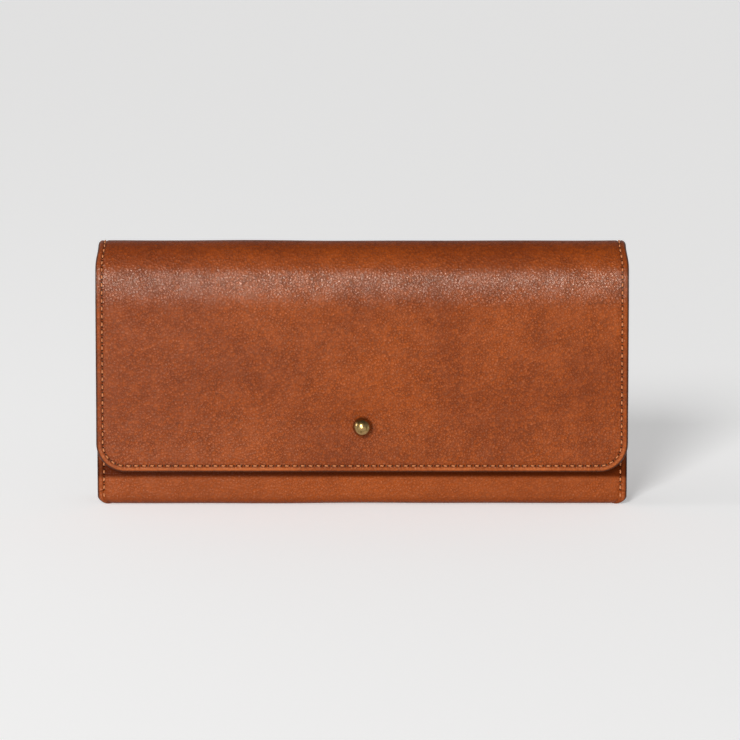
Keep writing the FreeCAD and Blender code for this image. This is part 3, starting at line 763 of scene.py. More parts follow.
    rough = remap(tree, grain.outputs["Mottle"], 0.35, 0.65, 0.37, 0.27)
    rough = math_node(tree, "ADD", rough, math_node(tree, "MULTIPLY", grain.outputs["Crease"], 0.25))
    rough = math_node(tree, "SUBTRACT", rough, math_node(tree, "MULTIPLY", on_bend, 0.05))
    tree.links.new(rough, shader.inputs["Roughness"])
    relief = math_node(tree, "MULTIPLY", grain.outputs["Height"], 0.21)
    bend_relief = math_node(tree, "MULTIPLY", stretched.outputs["Height"], on_bend)
    relief = math_node(tree, "ADD", relief, math_node(tree, "MULTIPLY", bend_relief, 0.16))
    relief = math_node(tree, "ADD", relief, math_node(tree, "MULTIPLY", pull.outputs["Height"], 0.30))
    relief = math_node(tree, "SUBTRACT", relief, math_node(tree, "MULTIPLY", pull.outputs["Hole"], 0.35))
    relief = math_node(tree, "SUBTRACT", relief, math_node(tree, "MULTIPLY", vein, 0.05))
    embossed = emboss(tree, shader, relief, MM)
    tree.links.new(embossed, shader.inputs["Coat Normal"])
    wax = math_node(tree, "MULTIPLY", on_bend, remap(tree, grain.outputs["Crease"], 0.1, 0.6, 0.85, 0.1))
    # The painted sheen on the left also adds a little coat.
    wax = math_node(tree, "ADD", wax, math_node(tree, "MULTIPLY", painted_left_sheen, 0.1))
    tree.links.new(wax, shader.inputs["Coat Weight"])
    shader.inputs["Coat Roughness"].default_value = 0.24
    shader.inputs["Coat IOR"].default_value = 1.5
    shine = math_node(tree, "ADD", 0.25, math_node(tree, "MULTIPLY", on_bend, 0.27))
    # Less shine inside the painted shadow under the flap's edge.
    shine = math_node(tree, "SUBTRACT", shine, math_node(tree, "MULTIPLY", painted_flap_shadow, 0.25))
    tree.links.new(shine, shader.inputs["Specular IOR Level"])
    shader.inputs["Specular Tint"].default_value = (1.0, 0.74, 0.5, 1)
    return look


COGNAC = outer_leather_look()
leather = {}
for cut_name, cut in CUTS.items():
    piece = cut_flat(cut_name, **cut)
    shape_leather(piece, cut["half"], cut["ends"], cut["corner"])
    piece.data.materials.append(COGNAC)
    leather[cut_name] = piece


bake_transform(leather["back_leather"])
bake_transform(leather["spine_leather"])
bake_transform(leather["flap_leather_face"])
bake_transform(leather["front_leather"])
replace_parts(leather["back_leather"], "back_panel_leather")
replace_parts(leather["spine_leather"], "spine_rear_leather", "spine_front_leather")
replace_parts(leather["flap_leather_face"], "flap_leather")
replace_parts(leather["front_leather"], "front_panel_leather")


# ---- Stitching: waxed golden thread along every edge, in short stitches 3 mm apart ----
# Each stitch lies in the groove that the row has pulled into the leather, and dives into a needle hole at
# both ends. One stitch is modelled and laid along the seams.
def one_stitch():
    deselect_all()
    bpy.ops.mesh.primitive_uv_sphere_add(segments=8, ring_count=7, radius=1)
    stitch = bpy.context.object
    bpy.ops.object.mode_set(mode="EDIT")
    bpy.ops.transform.rotate(value=math.pi / 2, orient_axis="Y", center_override=(0, 0, 0))
    bpy.ops.transform.resize(value=(0.8, 0.30, 0.26), center_override=(0, 0, 0))
    bpy.ops.object.mode_set(mode="OBJECT")
    co = points_of(stitch)
    full = np.sign(co[:, 0]) * 0.8 * np.abs(co[:, 0] / 0.8) ** 0.75
    twist = 0.05 * np.sin(co[:, 0] * 7)
    sunk = 0.34 * (np.abs(full) / 0.8) ** 3
    shape = np.column_stack([full, co[:, 1] + twist, co[:, 2] - sunk]) * MM
    faces = [tuple(p.vertices) for p in stitch.data.polygons]
    bpy.data.objects.remove(stitch)
    return shape, faces


STITCH_SHAPE, STITCH_FACES = one_stitch()


def seam_point(along, half, end, inward, corner):
    """A place on the stitch line, and which way the line runs there."""
    round_r = max(corner - SEAM_IN, 0)
    straight = half - corner
    if along < straight - (0 if corner else SEAM_IN):
        return along, end + inward * SEAM_IN, 1, 0
    if corner and along < straight + round_r * math.pi / 2:
        a = (along - straight) / round_r
        x, s = straight + round_r * math.sin(a), end + inward * (corner - round_r * math.cos(a))
        return x, s, math.cos(a), inward * math.sin(a)
    up = along - straight - round_r * math.pi / 2 + corner
    return half - SEAM_IN, end + inward * up, 0, inward


def on_shell(x, s, h):
    """The place of a point over the folded shell."""
    y, z = fold(s, h + stance(x, s))
    return x * half_width(s) / SHELL_HALF * crown_pull(s), y, z


def on_front(x, s, h):
    y, z = fold(s, h)
    return x * half_width(s) / BODY_HALF, y, z


def lay_stitches(name, places, height, shade, surface):
    """Copies the stitch to each place (x, s, run x, run s) of a sheet, and bends them with it."""
    rng = random.Random(len(places) + 7)
    rows, faces = [], []
    for x, s, run_x, run_s in places:
        lean = rng.uniform(-0.05, 0.05)
        ux, us = run_x - lean * run_s, run_s + lean * run_x
        u, v, w = STITCH_SHAPE[:, 0], STITCH_SHAPE[:, 1], STITCH_SHAPE[:, 2]
        first = len(rows) * len(STITCH_SHAPE)
        rows.append(np.column_stack([x + u * ux - v * us, s + u * us + v * ux, height + w]))
        faces += [tuple(first + i for i in f) for f in STITCH_FACES]
    flat = np.vstack(rows)
    thread = from_points(name, np.column_stack(surface(*flat.T)).tolist(), [], faces)
    mark(thread, "hide", flat)
    face_outwards()
    bpy.ops.object.shade_smooth()
    thread.data.materials.append(shade)
    return thread


def thread_look(name, colour, dark):
    """Waxed thread: two plies twisted together, a little dirt in the twist."""
    look, tree, shader = new_look(name)
    place = stored(tree, "hide")
    plies = tree.nodes.new("ShaderNodeTexWave")
    plies.wave_type = "BANDS"
    plies.bands_direction = "DIAGONAL"
    plies.inputs["Scale"].default_value = 900
    plies.inputs["Distortion"].default_value = 1.5
    tree.links.new(place.outputs["Vector"], plies.inputs["Vector"])
    worn = noise(tree, place.outputs["Vector"], 300, 2)
    tone = mix(tree, plies.outputs["Fac"], dark, colour)
    tone = mix(tree, remap(tree, worn, 0.4, 0.7, 0, 0.5), tone, dark)
    tree.links.new(tone, shader.inputs["Base Color"])
    emboss(tree, shader, plies.outputs["Fac"], 0.08 * MM)
    tree.links.new(remap(tree, worn, 0.3, 0.7, 0.42, 0.6), shader.inputs["Roughness"])
    return look


GOLD_THREAD = thread_look("golden_thread", (0.60, 0.22, 0.075), (0.33, 0.10, 0.028))


def both_sides(along_low, along_high, half, end, inward, corner):
    """The stitches between two distances along a seam, and the same on the other half of the wallet."""
    first, last = math.ceil(along_low / STITCH - 0.5), math.floor(along_high / STITCH - 0.5)
    found = []
    for k in range(first, last + 1):
        x, s, run_x, run_s = seam_point((k + 0.5) * STITCH, half, end, inward, corner)
        found += [(x, s, run_x, run_s), (-x, s, -run_x, run_s)]
    return found


def along_at(s):
    """Distance along the shell's seam, from the middle of the flap's edge, to a place s on its side."""
    round_r = FLAP_CORNER - SEAM_IN
    return SHELL_HALF - FLAP_CORNER + round_r * math.pi / 2 + (FLAP_END - s - FLAP_CORNER)


IN_GROOVE = -0.16 * MM
shell_seam = (SHELL_HALF, FLAP_END, -1, FLAP_CORNER)
front_seam = (BODY_HALF, 0.0, 1, 0)
SEAMS = {
    "flap": (both_sides(0, along_at(FLAP_CUT), *shell_seam), "flap_thread"),
    "spine": (
        both_sides(along_at(FLAP_CUT), along_at(SPINE_CUT), *shell_seam),
        "spine_front_thread",
        "spine_rear_thread",
    ),
    "back": (
        both_sides(along_at(SPINE_CUT), along_at(BACK_START + 3 * MM), *shell_seam),
        "back_seam_thread",
    ),
    "front": (
        both_sides(0, BODY_HALF - SEAM_IN, *front_seam)
        + both_sides(BODY_HALF + SEAM_IN, BODY_HALF + FRONT_END - 0.5 * MM, *front_seam),
        "front_panel_thread",
    ),
}
for part, (places, *nodes) in SEAMS.items():
    surface = on_front if part == "front" else on_shell
    stitches = lay_stitches(part + "_stitches", places, IN_GROOVE, GOLD_THREAD, surface)
    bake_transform(stitches)
    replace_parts(stitches, *nodes)


# ---- Press stud: a turned ball cap, its spring socket under the flap, and the stud on the front panel ----
# Antique brass. The ball's shank goes through the flap into the socket, and the stud is set on an eyelet.
def brass_look(name, colour, dark, polish):
    """Brass with a brown patina in scattered spots and clouds, rougher where it is tarnished."""
    look, tree, shader = new_look(name)
    place = tree.nodes.new("ShaderNodeTexCoord")
    spots = noise(tree, place.outputs["Object"], 900, 4, 0.65)
    cloud = noise(tree, place.outputs["Object"], 260, 3, 0.6)
    tarnish = remap(tree, math_node(tree, "MULTIPLY", spots, cloud), 0.18, 0.34, 0.0, 1.0)
    tree.links.new(mix(tree, tarnish, colour, dark), shader.inputs["Base Color"])
    tree.links.new(remap(tree, tarnish, 0, 1, polish, polish + 0.16), shader.inputs["Roughness"])
    shader.inputs["Metallic"].default_value = 1.0
    emboss(tree, shader, spots, 0.02 * MM)
    return look


ANTIQUE_BRASS = brass_look("antique_brass", (0.40, 0.27, 0.115), (0.17, 0.105, 0.035), 0.2)
BALL_R = 3.65 * MM
BALL_OUT = flap_low.y - ball_low.y - BALL_R


def turned(name, profile, segments=64):
    """A piece turned on the lathe: points (radius, out from the flap's face) spun about the stud's axis."""
    edges = [(i, i + 1) for i in range(len(profile) - 1)]
    piece = from_points(name, [(r * MM, -out * MM, 0) for r, out in profile], edges, [])
    bpy.ops.object.mode_set(mode="EDIT")
    bpy.ops.mesh.select_all(action="SELECT")
    bpy.ops.mesh.spin(steps=segments, angle=2 * math.pi, center=(0, 0, 0), axis=(0, 1, 0))
    bpy.ops.mesh.select_all(action="SELECT")
    bpy.ops.mesh.remove_doubles(threshold=WELD)
    bpy.ops.mesh.normals_make_consistent(inside=False)
    bpy.ops.object.mode_set(mode="OBJECT")
    piece.data.transform(Matrix.Translation((0, FLAP_Y, STUD_Z)))
    bpy.ops.object.shade_smooth_by_angle(angle=math.radians(40))
    return piece


ball_r, ball_out = BALL_R / MM, BALL_OUT / MM
neck = math.asin(1.75 / ball_r)
ball_arc = [
    (ball_r * math.sin(a), ball_out + ball_r * math.cos(a)) for a in np.linspace(0, math.pi - neck, 30)
]
shank = [(1.7, -0.78), (2.3, -0.72), (2.42, -0.9), (2.3, -1.06), (1.55, -1.1), (1.5, -1.75), (0, -1.8)]
cap = turned("ball_cap", ball_arc + shank)
cap.data.materials.append(ANTIQUE_BRASS)
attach(cap, "flap")
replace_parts(cap, "snap_ball_cap")


def machined(node, name, bevel, look):
    """A stamped or turned metal part: the frame's own shape with its sharp edges broken."""
    deselect_all()
    part = frame["nodes"][node].copy()
    part.data = frame["nodes"][node].data.copy()
    part.name = name
    part.parent = None
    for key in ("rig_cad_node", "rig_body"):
        if key in part:
            del part[key]
    bpy.context.scene.collection.objects.link(part)
    part.data.materials.clear()
    part.data.materials.append(look)
    part.select_set(True)
    bpy.context.view_layer.objects.active = part
    bpy.ops.object.mode_set(mode="EDIT")
    bpy.ops.mesh.select_all(action="SELECT")
    bpy.ops.mesh.remove_doubles(threshold=WELD)
    bpy.ops.mesh.dissolve_limited(angle_limit=math.radians(4))
    bpy.ops.object.mode_set(mode="OBJECT")
    edge = part.modifiers.new("broken_edge", "BEVEL")
    edge.width = bevel
    edge.segments = 2
    edge.limit_method = "ANGLE"
    edge.angle_limit = math.radians(35)
    bpy.ops.object.modifier_apply(modifier=edge.name)
    bpy.ops.object.shade_smooth_by_angle(angle=math.radians(35))
    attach(part, frame["nodes"][node]["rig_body"])
    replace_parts(part, node)
    return part


machined("snap_socket", "spring_socket", 0.15 * MM, ANTIQUE_BRASS)
machined("snap_socket_spring", "socket_ring", 0.01 * MM, ANTIQUE_BRASS)
machined("snap_stud", "front_stud", 0.15 * MM, ANTIQUE_BRASS)
machined("snap_eyelet", "stud_eyelet", 0.1 * MM, ANTIQUE_BRASS)


# ---- Boards: grey pulp board between leather and lining, which keeps the panels flat ----
# The flap's board takes the flap's stance. The other boards lie flat inside the case and the front panel.
def board_look():
    look, tree, shader = new_look("pulp_board")
    place = tree.nodes.new("ShaderNodeTexCoord")
    fibres = noise(tree, place.outputs["Object"], 1800, 4, 0.7)
    tree.links.new(mix(tree, fibres, (0.25, 0.20, 0.15), (0.42, 0.36, 0.28)), shader.inputs["Base Color"])
    tree.links.new(remap(tree, fibres, 0.2, 0.8, 0.8, 0.95), shader.inputs["Roughness"])
    emboss(tree, shader, fibres, 0.05 * MM)
    return look


PULP_BOARD = board_look()
for node in ("back_panel_board", "base_board", "front_panel_board"):
    frame["nodes"][node].data.materials.clear()
    frame["nodes"][node].data.materials.append(PULP_BOARD)


def fold_in(sheet, top, surface):
    """Lays a flat cut at a depth under the outer leather, and folds it round with the wallet."""
    co = points_of(sheet)
    x, s, h = co[:, 0], co[:, 1], co[:, 2] + top
    set_points(sheet, np.column_stack(surface(x, s, h)))
    mark(sheet, "hide", np.column_stack([x, s, co[:, 2]]))
    bpy.ops.object.shade_smooth_by_angle(angle=math.radians(50))


BOARD_IN = 1.7 * MM
flap_board = cut_flat(
    "flap_pulp_board",
    half=SHELL_HALF - BOARD_IN,
    s_low=ROLL_END,
    s_high=FLAP_END - BOARD_IN,
    ends=[(ROLL_END, 1), (FLAP_END - BOARD_IN, -1)],
    corner=FLAP_CORNER - BOARD_IN,
    lines=steps(ROLL_END + 3 * MM, FLAP_END - 4 * MM, 2.2 * MM),
    thick=0.5 * MM,
    rings=(0.15,),
)
fold_in(flap_board, -1.06 * MM, on_shell)
flap_board.data.materials.append(PULP_BOARD)
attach(flap_board, "flap")
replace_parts(flap_board, "flap_board")


# ---- Lining: tan cotton twill, glued over the hide's turned edges, in four lengths like the leather ----
# Each length is one cut of cloth 0.3 mm thick, stretched flat over its panel and bent with it.
def build_weave_group():
    """Woven cloth: threads that cross, in twill or herringbone. Along and Across are in metres."""
    tree, put, out = group(
        "weave",
        [
            ("Place", "NodeSocketVector", None),
            ("Thread mm", "NodeSocketFloat", 0.3),
            ("Chevron mm", "NodeSocketFloat", 1000.0),
        ],
        [("Height", "NodeSocketFloat"), ("Shade", "NodeSocketFloat")],
    )
    split = tree.nodes.new("ShaderNodeSeparateXYZ")
    tree.links.new(put.outputs["Place"], split.inputs[0])
    across = math_node(tree, "MULTIPLY", split.outputs["X"], 1000.0)
    along = math_node(tree, "MULTIPLY", split.outputs["Y"], 1000.0)
    zigzag = math_node(tree, "PINGPONG", along, put.outputs["Chevron mm"])
    slant = math_node(tree, "DIVIDE", math_node(tree, "ADD", across, zigzag), put.outputs["Thread mm"])
    ribs = math_node(tree, "SINE", math_node(tree, "MULTIPLY", slant, math.pi))
    threads = math_node(tree, "DIVIDE", math_node(tree, "MULTIPLY", along, 2.0), put.outputs["Thread mm"])
    threads = math_node(tree, "SINE", math_node(tree, "MULTIPLY", threads, math.pi))
    height = math_node(tree, "ADD", ribs, math_node(tree, "MULTIPLY", threads, 0.35))
    height = remap(tree, height, -1.35, 1.35)
    slub = noise(tree, put.outputs["Place"], 420, 3, 0.7)
    slub = math_node(tree, "MULTIPLY", slub, 0.45)
    shade = math_node(tree, "ADD", math_node(tree, "MULTIPLY", height, 0.55), slub)
    tree.links.new(height, out.inputs["Height"])
    tree.links.new(shade, out.inputs["Shade"])
    return tree


WEAVE = build_weave_group()


def cloth_look(name, dark, light, thread_mm, chevron_mm=1000.0, sheen=0.25):
    look, tree, shader = new_look(name)
    hide = stored(tree, "hide")
    weave = tree.nodes.new("ShaderNodeGroup")
    weave.node_tree = WEAVE
    weave.inputs["Thread mm"].default_value = thread_mm
    weave.inputs["Chevron mm"].default_value = chevron_mm
    tree.links.new(hide.outputs["Vector"], weave.inputs["Place"])
    worn = noise(tree, hide.outputs["Vector"], 30, 3)
    tone = mix(tree, weave.outputs["Shade"], dark, light)
    tone = mix(tree, remap(tree, worn, 0.35, 0.75, 0, 0.3), tone, dark)
    tree.links.new(tone, shader.inputs["Base Color"])
    tree.links.new(remap(tree, weave.outputs["Shade"], 0.2, 0.8, 0.9, 0.75), shader.inputs["Roughness"])
    emboss(tree, shader, weave.outputs["Height"], 0.12 * MM)
    shader.inputs["Sheen Weight"].default_value = sheen
    return look


TWILL = cloth_look("tan_twill", (0.20, 0.11, 0.05), (0.40, 0.25, 0.13), 0.55)
LINING = 0.3 * MM
LINING_TOP = -(WALL - LINING)
LINING_IN = 1.3 * MM
SHELL_LINING = SHELL_HALF - LINING_IN
FRONT_LINING = BODY_HALF - LINING_IN
LINING_RINGS = (0.1, 0.3)
LININGS = {
    "front": (
        dict(
            half=FRONT_LINING,
            s_low=LINING_IN,
            s_high=BASE_CUT,
            ends=[(LINING_IN, 1)],
            lines=steps(LINING_IN + MM, FRONT_END, 6 * MM) + [FRONT_END, *fold_lines, BASE_START],
        ),
        "front_panel_lining",
    ),
    "back": (
        dict(
            half=SHELL_LINING,
            s_low=BASE_CUT,
            s_high=SPINE_CUT,
            ends=[],
            lines=[BASE_END, *steps(BASE_END, BACK_START, FOLD_GAP), BACK_START]
            + steps(BACK_START, ROLL_START, 6 * MM)
            + [ROLL_START, *steps(ROLL_START, SPINE_CUT, 1.2 * MM)],
        ),
        "back_panel_lining",
    ),
    "spine": (
        dict(
            half=SHELL_LINING,
            s_low=SPINE_CUT,
            s_high=FLAP_CUT,
            ends=[],
            lines=steps(SPINE_CUT, FLAP_CUT, 1.2 * MM),
        ),
        "spine_rear_lining",
        "spine_front_lining",
    ),
    "flap": (
        dict(
            half=SHELL_LINING,
            s_low=FLAP_CUT,
            s_high=FLAP_END - LINING_IN,
            ends=[(FLAP_END - LINING_IN, -1)],
            corner=FLAP_CORNER - LINING_IN,
            lines=steps(FLAP_CUT, ROLL_END, 1.2 * MM) + steps(ROLL_END, FLAP_END - 4 * MM, 3 * MM),
        ),
        "flap_lining",
    ),
}
for part, (cut, *nodes) in LININGS.items():
    cut.setdefault("corner", 0)
    lining = cut_flat(part + "_twill", **cut, thick=LINING, rings=LINING_RINGS, gap=6)
    fold_in(lining, LINING_TOP, on_front if part == "front" else on_shell)
    lining.data.materials.append(TWILL)
    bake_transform(lining)
    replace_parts(lining, *nodes)


# ---- Card slots and slip pocket: strips of thin smooth leather, each with a creased, turned mouth ----
# The four card slots step down the back panel, sewn along the middle into two columns. One plain slip pocket
# lies on the front panel's inside.
def inner_leather_look(name, dark, light):
    """Vegetable-tanned split: smooth, matt, softly clouded, with fine pores."""
    look, tree, shader = new_look(name)
    hide = stored(tree, "hide")
    seam = stored(tree, "seam")
    grain = tree.nodes.new("ShaderNodeGroup")
    grain.node_tree = GRAIN
    grain.inputs["Pebble mm"].default_value = 0.7
    tree.links.new(hide.outputs["Vector"], grain.inputs["Place"])
    edge = tree.nodes.new("ShaderNodeSeparateXYZ")
    tree.links.new(seam.outputs["Vector"], edge.inputs[0])
    tone = mix(tree, remap(tree, grain.outputs["Mottle"], 0.36, 0.64), dark, light)
    tone = mix(tree, math_node(tree, "MULTIPLY", grain.outputs["Crease"], 0.25), tone, dark)
    worn = remap(tree, edge.outputs["Z"], 0.0, 1.2 * MM, 0.6, 0.0)
    tone = mix(tree, worn, tone, TAN_WORN_AND_HIGHLIT)
    painted = remap(tree, edge.outputs["Z"], 0.0, 0.25 * MM, 0.9, 0.0)
    tone = mix(tree, painted, tone, BURNT)
    tree.links.new(tone, shader.inputs["Base Color"])
    tree.links.new(remap(tree, grain.outputs["Mottle"], 0.3, 0.7, 0.6, 0.45), shader.inputs["Roughness"])
    crease = remap(tree, edge.outputs["Y"], 0.1 * MM, 0.45 * MM, 1.0, 0.0)
    relief = math_node(tree, "MULTIPLY", grain.outputs["Height"], 0.05)
    relief = math_node(tree, "SUBTRACT", relief, math_node(tree, "MULTIPLY", crease, 0.1))
    emboss(tree, shader, relief, MM)
    shader.inputs["Specular IOR Level"].default_value = 0.3
    return look


SADDLE = inner_leather_look("saddle_leather", (0.10, 0.022, 0.005), (0.20, 0.052, 0.013))
CREASE_IN = 2.2 * MM


def inner_strip(name, node, inwards, look, corner=2 * MM):
    """A flat strip that fills its node's box. It faces along inwards (-1 forwards, 1 backwards) in y."""
    low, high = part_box(node)
    thick, tall = high.y - low.y, high.z - low.z
    half = high.x
    strip = cut_flat(
        name,
        half=half,
        s_low=0.0,
        s_high=tall,
        ends=[(0.0, 1), (tall, -1)],
        corner=corner,
        lines=steps(3 * MM, tall - 3 * MM, 4 * MM),
        thick=thick,
        rings=(0.08, 0.2, 0.4, 1.9, 2.2, 2.5),
        gap=5,
    )
    co = points_of(strip)
    x, s = co[:, 0], co[:, 1]
    face = co[:, 2] > -0.5 * thick
    d = edge_distance(x, s, half, [(0.0, 1), (tall, -1)], corner) / MM
    round_off = thick / MM * 0.42 * np.clip(1 - d / 0.3, 0, 1) ** 2
    groove = 0.06 * np.exp(-(((d - 2.2) / 0.2) ** 2))
    h = np.where(face, -(round_off + groove), -thick / MM + round_off) * MM
    front_face = low.y if inwards < 0 else high.y
    y = front_face + inwards * h
    set_points(strip, np.column_stack([x, y, high.z - s]))
    mark(strip, "hide", np.column_stack([x + 0.5 * half, s + 0.3 * low.z, co[:, 2]]))
    mark(strip, "seam", np.column_stack([x, np.abs(d * MM - CREASE_IN), d * MM]))
    if inwards > 0:
        strip.data.flip_normals()
    bpy.ops.object.shade_smooth_by_angle(angle=math.radians(40))
    strip.data.materials.append(look)
    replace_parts(strip, node)
    return strip


for row in range(1, 5):
    pocket = inner_strip(f"card_pocket_{row}", f"card_slot_{row}", -1, SADDLE)
    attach(pocket, "case")
slip = inner_strip("slip_pocket", "front_slip_pocket", 1, SADDLE)
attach(slip, "front")

slot_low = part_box("card_slot_4")[0]
slot_face = {row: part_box(f"card_slot_{row}")[0].y for row in range(1, 5)}
slot_top = {row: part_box(f"card_slot_{row}")[1].z for row in range(1, 5)}


def on_slots(x, s, h):
    """The stepped face of the card slots: each step down comes forward by a strip."""
    z = slot_top[1] - s
    y = np.full_like(z, slot_face[1])
    for row in range(2, 5):
        y = np.where(z < slot_top[row], slot_face[row], y)
    return x, y - h, z


slot_count = int((slot_top[1] - slot_low.z - 2 * MM) / STITCH)
slot_seam = [(0.0, MM + (k + 0.5) * STITCH, 0, 1) for k in range(slot_count)]
slot_thread = lay_stitches("card_slot_stitches", slot_seam, 0.02 * MM, GOLD_THREAD, on_slots)
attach(slot_thread, "case")
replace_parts(slot_thread, "card_slot_thread")


# ---- Gussets: a folded strip of soft leather at each end, which lets the compartments fan open ----
# Each is one strip that folds in between the back wall and the coin pocket, goes round the pocket's end,
# folds in again and comes out to the front panel. The folds lean inwards and dip towards the top.
gusset_low, gusset_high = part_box("gusset_right")
pocket_low, pocket_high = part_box("coin_pocket_leather")
GUSSET = 0.6 * MM
GUSSET_CLEAR = GUSSET / 2 + 0.08 * MM
GUSSET_ROWS = 24
CREST_X = pocket_high.x + 0.15 * MM + GUSSET / 2
WALL_X = gusset_high.x - 0.3 * MM
FOLD_X = gusset_low.x + GUSSET / 2 + 0.2 * MM
BACK_INNER = BACK_Y - WALL
FRONT_INNER = FRONT_Y + WALL
SLOTS_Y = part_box("card_slot_4")[0].y
SLIP_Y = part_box("front_slip_pocket")[1].y


def make_gusset(name, side):
    plan = [
        (WALL_X, BACK_INNER - GUSSET_CLEAR),
        (FOLD_X + 5 * MM, SLOTS_Y - 0.4 * MM),
        (FOLD_X, SLOTS_Y - 0.7 * MM),
        (FOLD_X, SLOTS_Y - 1.6 * MM),
        (CREST_X, pocket_high.y + GUSSET_CLEAR),
        (CREST_X, pocket_low.y - GUSSET_CLEAR),
        (FOLD_X, SLIP_Y + 1.5 * MM),
        (FOLD_X, SLIP_Y + 0.7 * MM),
        (FOLD_X + 5 * MM, SLIP_Y + 0.4 * MM),
        (WALL_X, FRONT_INNER + GUSSET_CLEAR),
    ]
    low_z = gusset_low.z
    edges = [(i, i + 1) for i in range(len(plan) - 1)]
    gusset = from_points(name, [(side * x, y, low_z) for x, y in plan], edges, [])
    bpy.ops.object.mode_set(mode="EDIT")
    bpy.ops.mesh.select_all(action="SELECT")
    bpy.ops.mesh.bevel(affect="VERTICES", offset=0.55 * MM, segments=4, profile=0.5)
    bpy.ops.mesh.select_all(action="SELECT")
    bpy.ops.mesh.subdivide(number_cuts=1)
    rise = (gusset_high.z - low_z) / GUSSET_ROWS
    for _ in range(GUSSET_ROWS):
        bpy.ops.mesh.extrude_region_move(TRANSFORM_OT_translate={"value": (0, 0, rise)})
    bpy.ops.mesh.select_all(action="SELECT")
    bpy.ops.mesh.normals_make_consistent(inside=False)
    bpy.ops.object.mode_set(mode="OBJECT")
    thickness = gusset.modifiers.new("thickness", "SOLIDIFY")
    thickness.thickness = GUSSET
    thickness.offset = 0
    bpy.ops.object.modifier_apply(modifier=thickness.name)
    co = points_of(gusset)
    up = (co[:, 2] - low_z) / (gusset_high.z - low_z)
    folded = np.clip((WALL_X - np.abs(co[:, 0])) / (WALL_X - FOLD_X), 0, 1)
    crest = np.exp(-(((co[:, 1] - (pocket_low.y + pocket_high.y) / 2) / (3.2 * MM)) ** 4))
    dip = 3.0 * MM * smooth((up - 0.8) / 0.2) * smooth(folded * 1.6) * (1 - crest)
    soft = 0.25 * MM * np.sin(9 * up + 2 * folded) * folded * (1 - crest)
    moved = co.copy()
    moved[:, 0] -= side * (soft + 0.8 * MM * up * folded * (1 - crest))
    moved[:, 2] -= dip
    set_points(gusset, moved)
    mark(gusset, "hide", np.column_stack([co[:, 0] * 0.6 + co[:, 1], co[:, 2], co[:, 0]]))
    to_top = gusset_high.z - co[:, 2]
    mark(gusset, "seam", np.column_stack([co[:, 1], np.full(len(co), OFF_SEAM), to_top]))
    bpy.ops.object.shade_smooth_by_angle(angle=math.radians(60))
    gusset.data.materials.append(SADDLE)
    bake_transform(gusset)
    return gusset


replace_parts(make_gusset("end_gusset_right", 1), "gusset_right")
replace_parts(make_gusset("end_gusset_left", -1), "gusset_left")


# ---- Coin pocket: one strip of saddle leather folded under a twill bag, sewn along both mouths ----
# The pocket stands free between the gussets and carries the zip in its mouth.
def pocket_path(y_front, y_rear, z_low, z_high, r):
    """A path down the front wall, under, and up the rear wall: where it turns, and where a point goes."""
    down = z_high - z_low - r
    quarter = r * math.pi / 2
    under = y_rear - y_front - 2 * r
    stops = np.cumsum([0, down, quarter, under, quarter, down])

    def at(x, s, h):
        s, h = np.asarray(s, float), np.asarray(h, float)
        a = np.pi + (s - stops[1]) / r
        b = 1.5 * np.pi + (s - stops[3]) / r
        y = np.select(
            [s <= stops[1], s <= stops[2], s <= stops[3], s <= stops[4]],
            [
                y_front - h,
                y_front + r + (r + h) * np.cos(a),
                y_front + r + s - stops[2],
                y_rear - r + (r + h) * np.cos(b),
            ],
            y_rear + h,
        )
        z = np.select(
            [s <= stops[1], s <= stops[2], s <= stops[3], s <= stops[4]],
            [z_high - s, z_low + r + (r + h) * np.sin(a), z_low - h, z_low + r + (r + h) * np.sin(b)],
            z_low + r + s - stops[4],
        )
        return x, y, z

    return stops, at


POCKET_WALL = 0.7 * MM
POCKET_FOLD = 1.6 * MM
POCKET_GAP = 0.4 * MM  # between rows of points where the strip turns
MOUTH_IN = 2.6 * MM


def folded_strip(name, half, path, thick, rings, corner, gap):
    stops, at = path
    lines = [*steps(MOUTH_IN, stops[1], gap * MM), stops[1], *steps(stops[1], stops[2], POCKET_GAP), stops[2]]
    lines += [stops[3], *steps(stops[3], stops[4], POCKET_GAP), stops[4]]
    lines += steps(stops[4], stops[5] - MOUTH_IN, gap * MM)
    ends = [(0.0, 1), (stops[5], -1)]
    strip = cut_flat(name, half, 0.0, stops[5], ends, corner, lines, thick=thick, rings=rings, gap=gap)
    co = points_of(strip)
    x, s = co[:, 0], co[:, 1]
    d = edge_distance(x, s, half, ends, corner) / MM
    round_off = thick / MM * 0.4 * np.clip(1 - d / 0.4, 0, 1) ** 2
    h = np.where(co[:, 2] > -0.5 * thick, -round_off, -thick / MM + round_off) * MM
    set_points(strip, np.column_stack(at(x, s, h)))
    mark(strip, "hide", np.column_stack([x, s, co[:, 2]]))
    mark(strip, "seam", np.column_stack([x, np.full(len(x), OFF_SEAM), d * MM]))
    bpy.ops.object.shade_smooth_by_angle(angle=math.radians(45))
    return strip


pocket_route = pocket_path(pocket_low.y, pocket_high.y, pocket_low.z, pocket_high.z, POCKET_FOLD)
coin_pocket = folded_strip(
    "coin_pocket_hide", pocket_high.x, pocket_route, POCKET_WALL, (0.1, 0.25, 0.5, 2.4), 0, 5
)
coin_pocket.data.materials.append(SADDLE)
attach(coin_pocket, "divider")
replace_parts(coin_pocket, "coin_pocket_leather")

bag_low, bag_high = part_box("coin_pocket_lining")
bag_route = pocket_path(bag_low.y, bag_high.y, bag_low.z + 0.1 * MM, bag_high.z, 1.1 * MM)
bag = folded_strip("coin_bag_twill", bag_high.x, bag_route, 0.25 * MM, (0.1, 0.3), 0, 6)
bag.data.materials.append(TWILL)
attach(bag, "divider")
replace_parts(bag, "coin_pocket_lining")

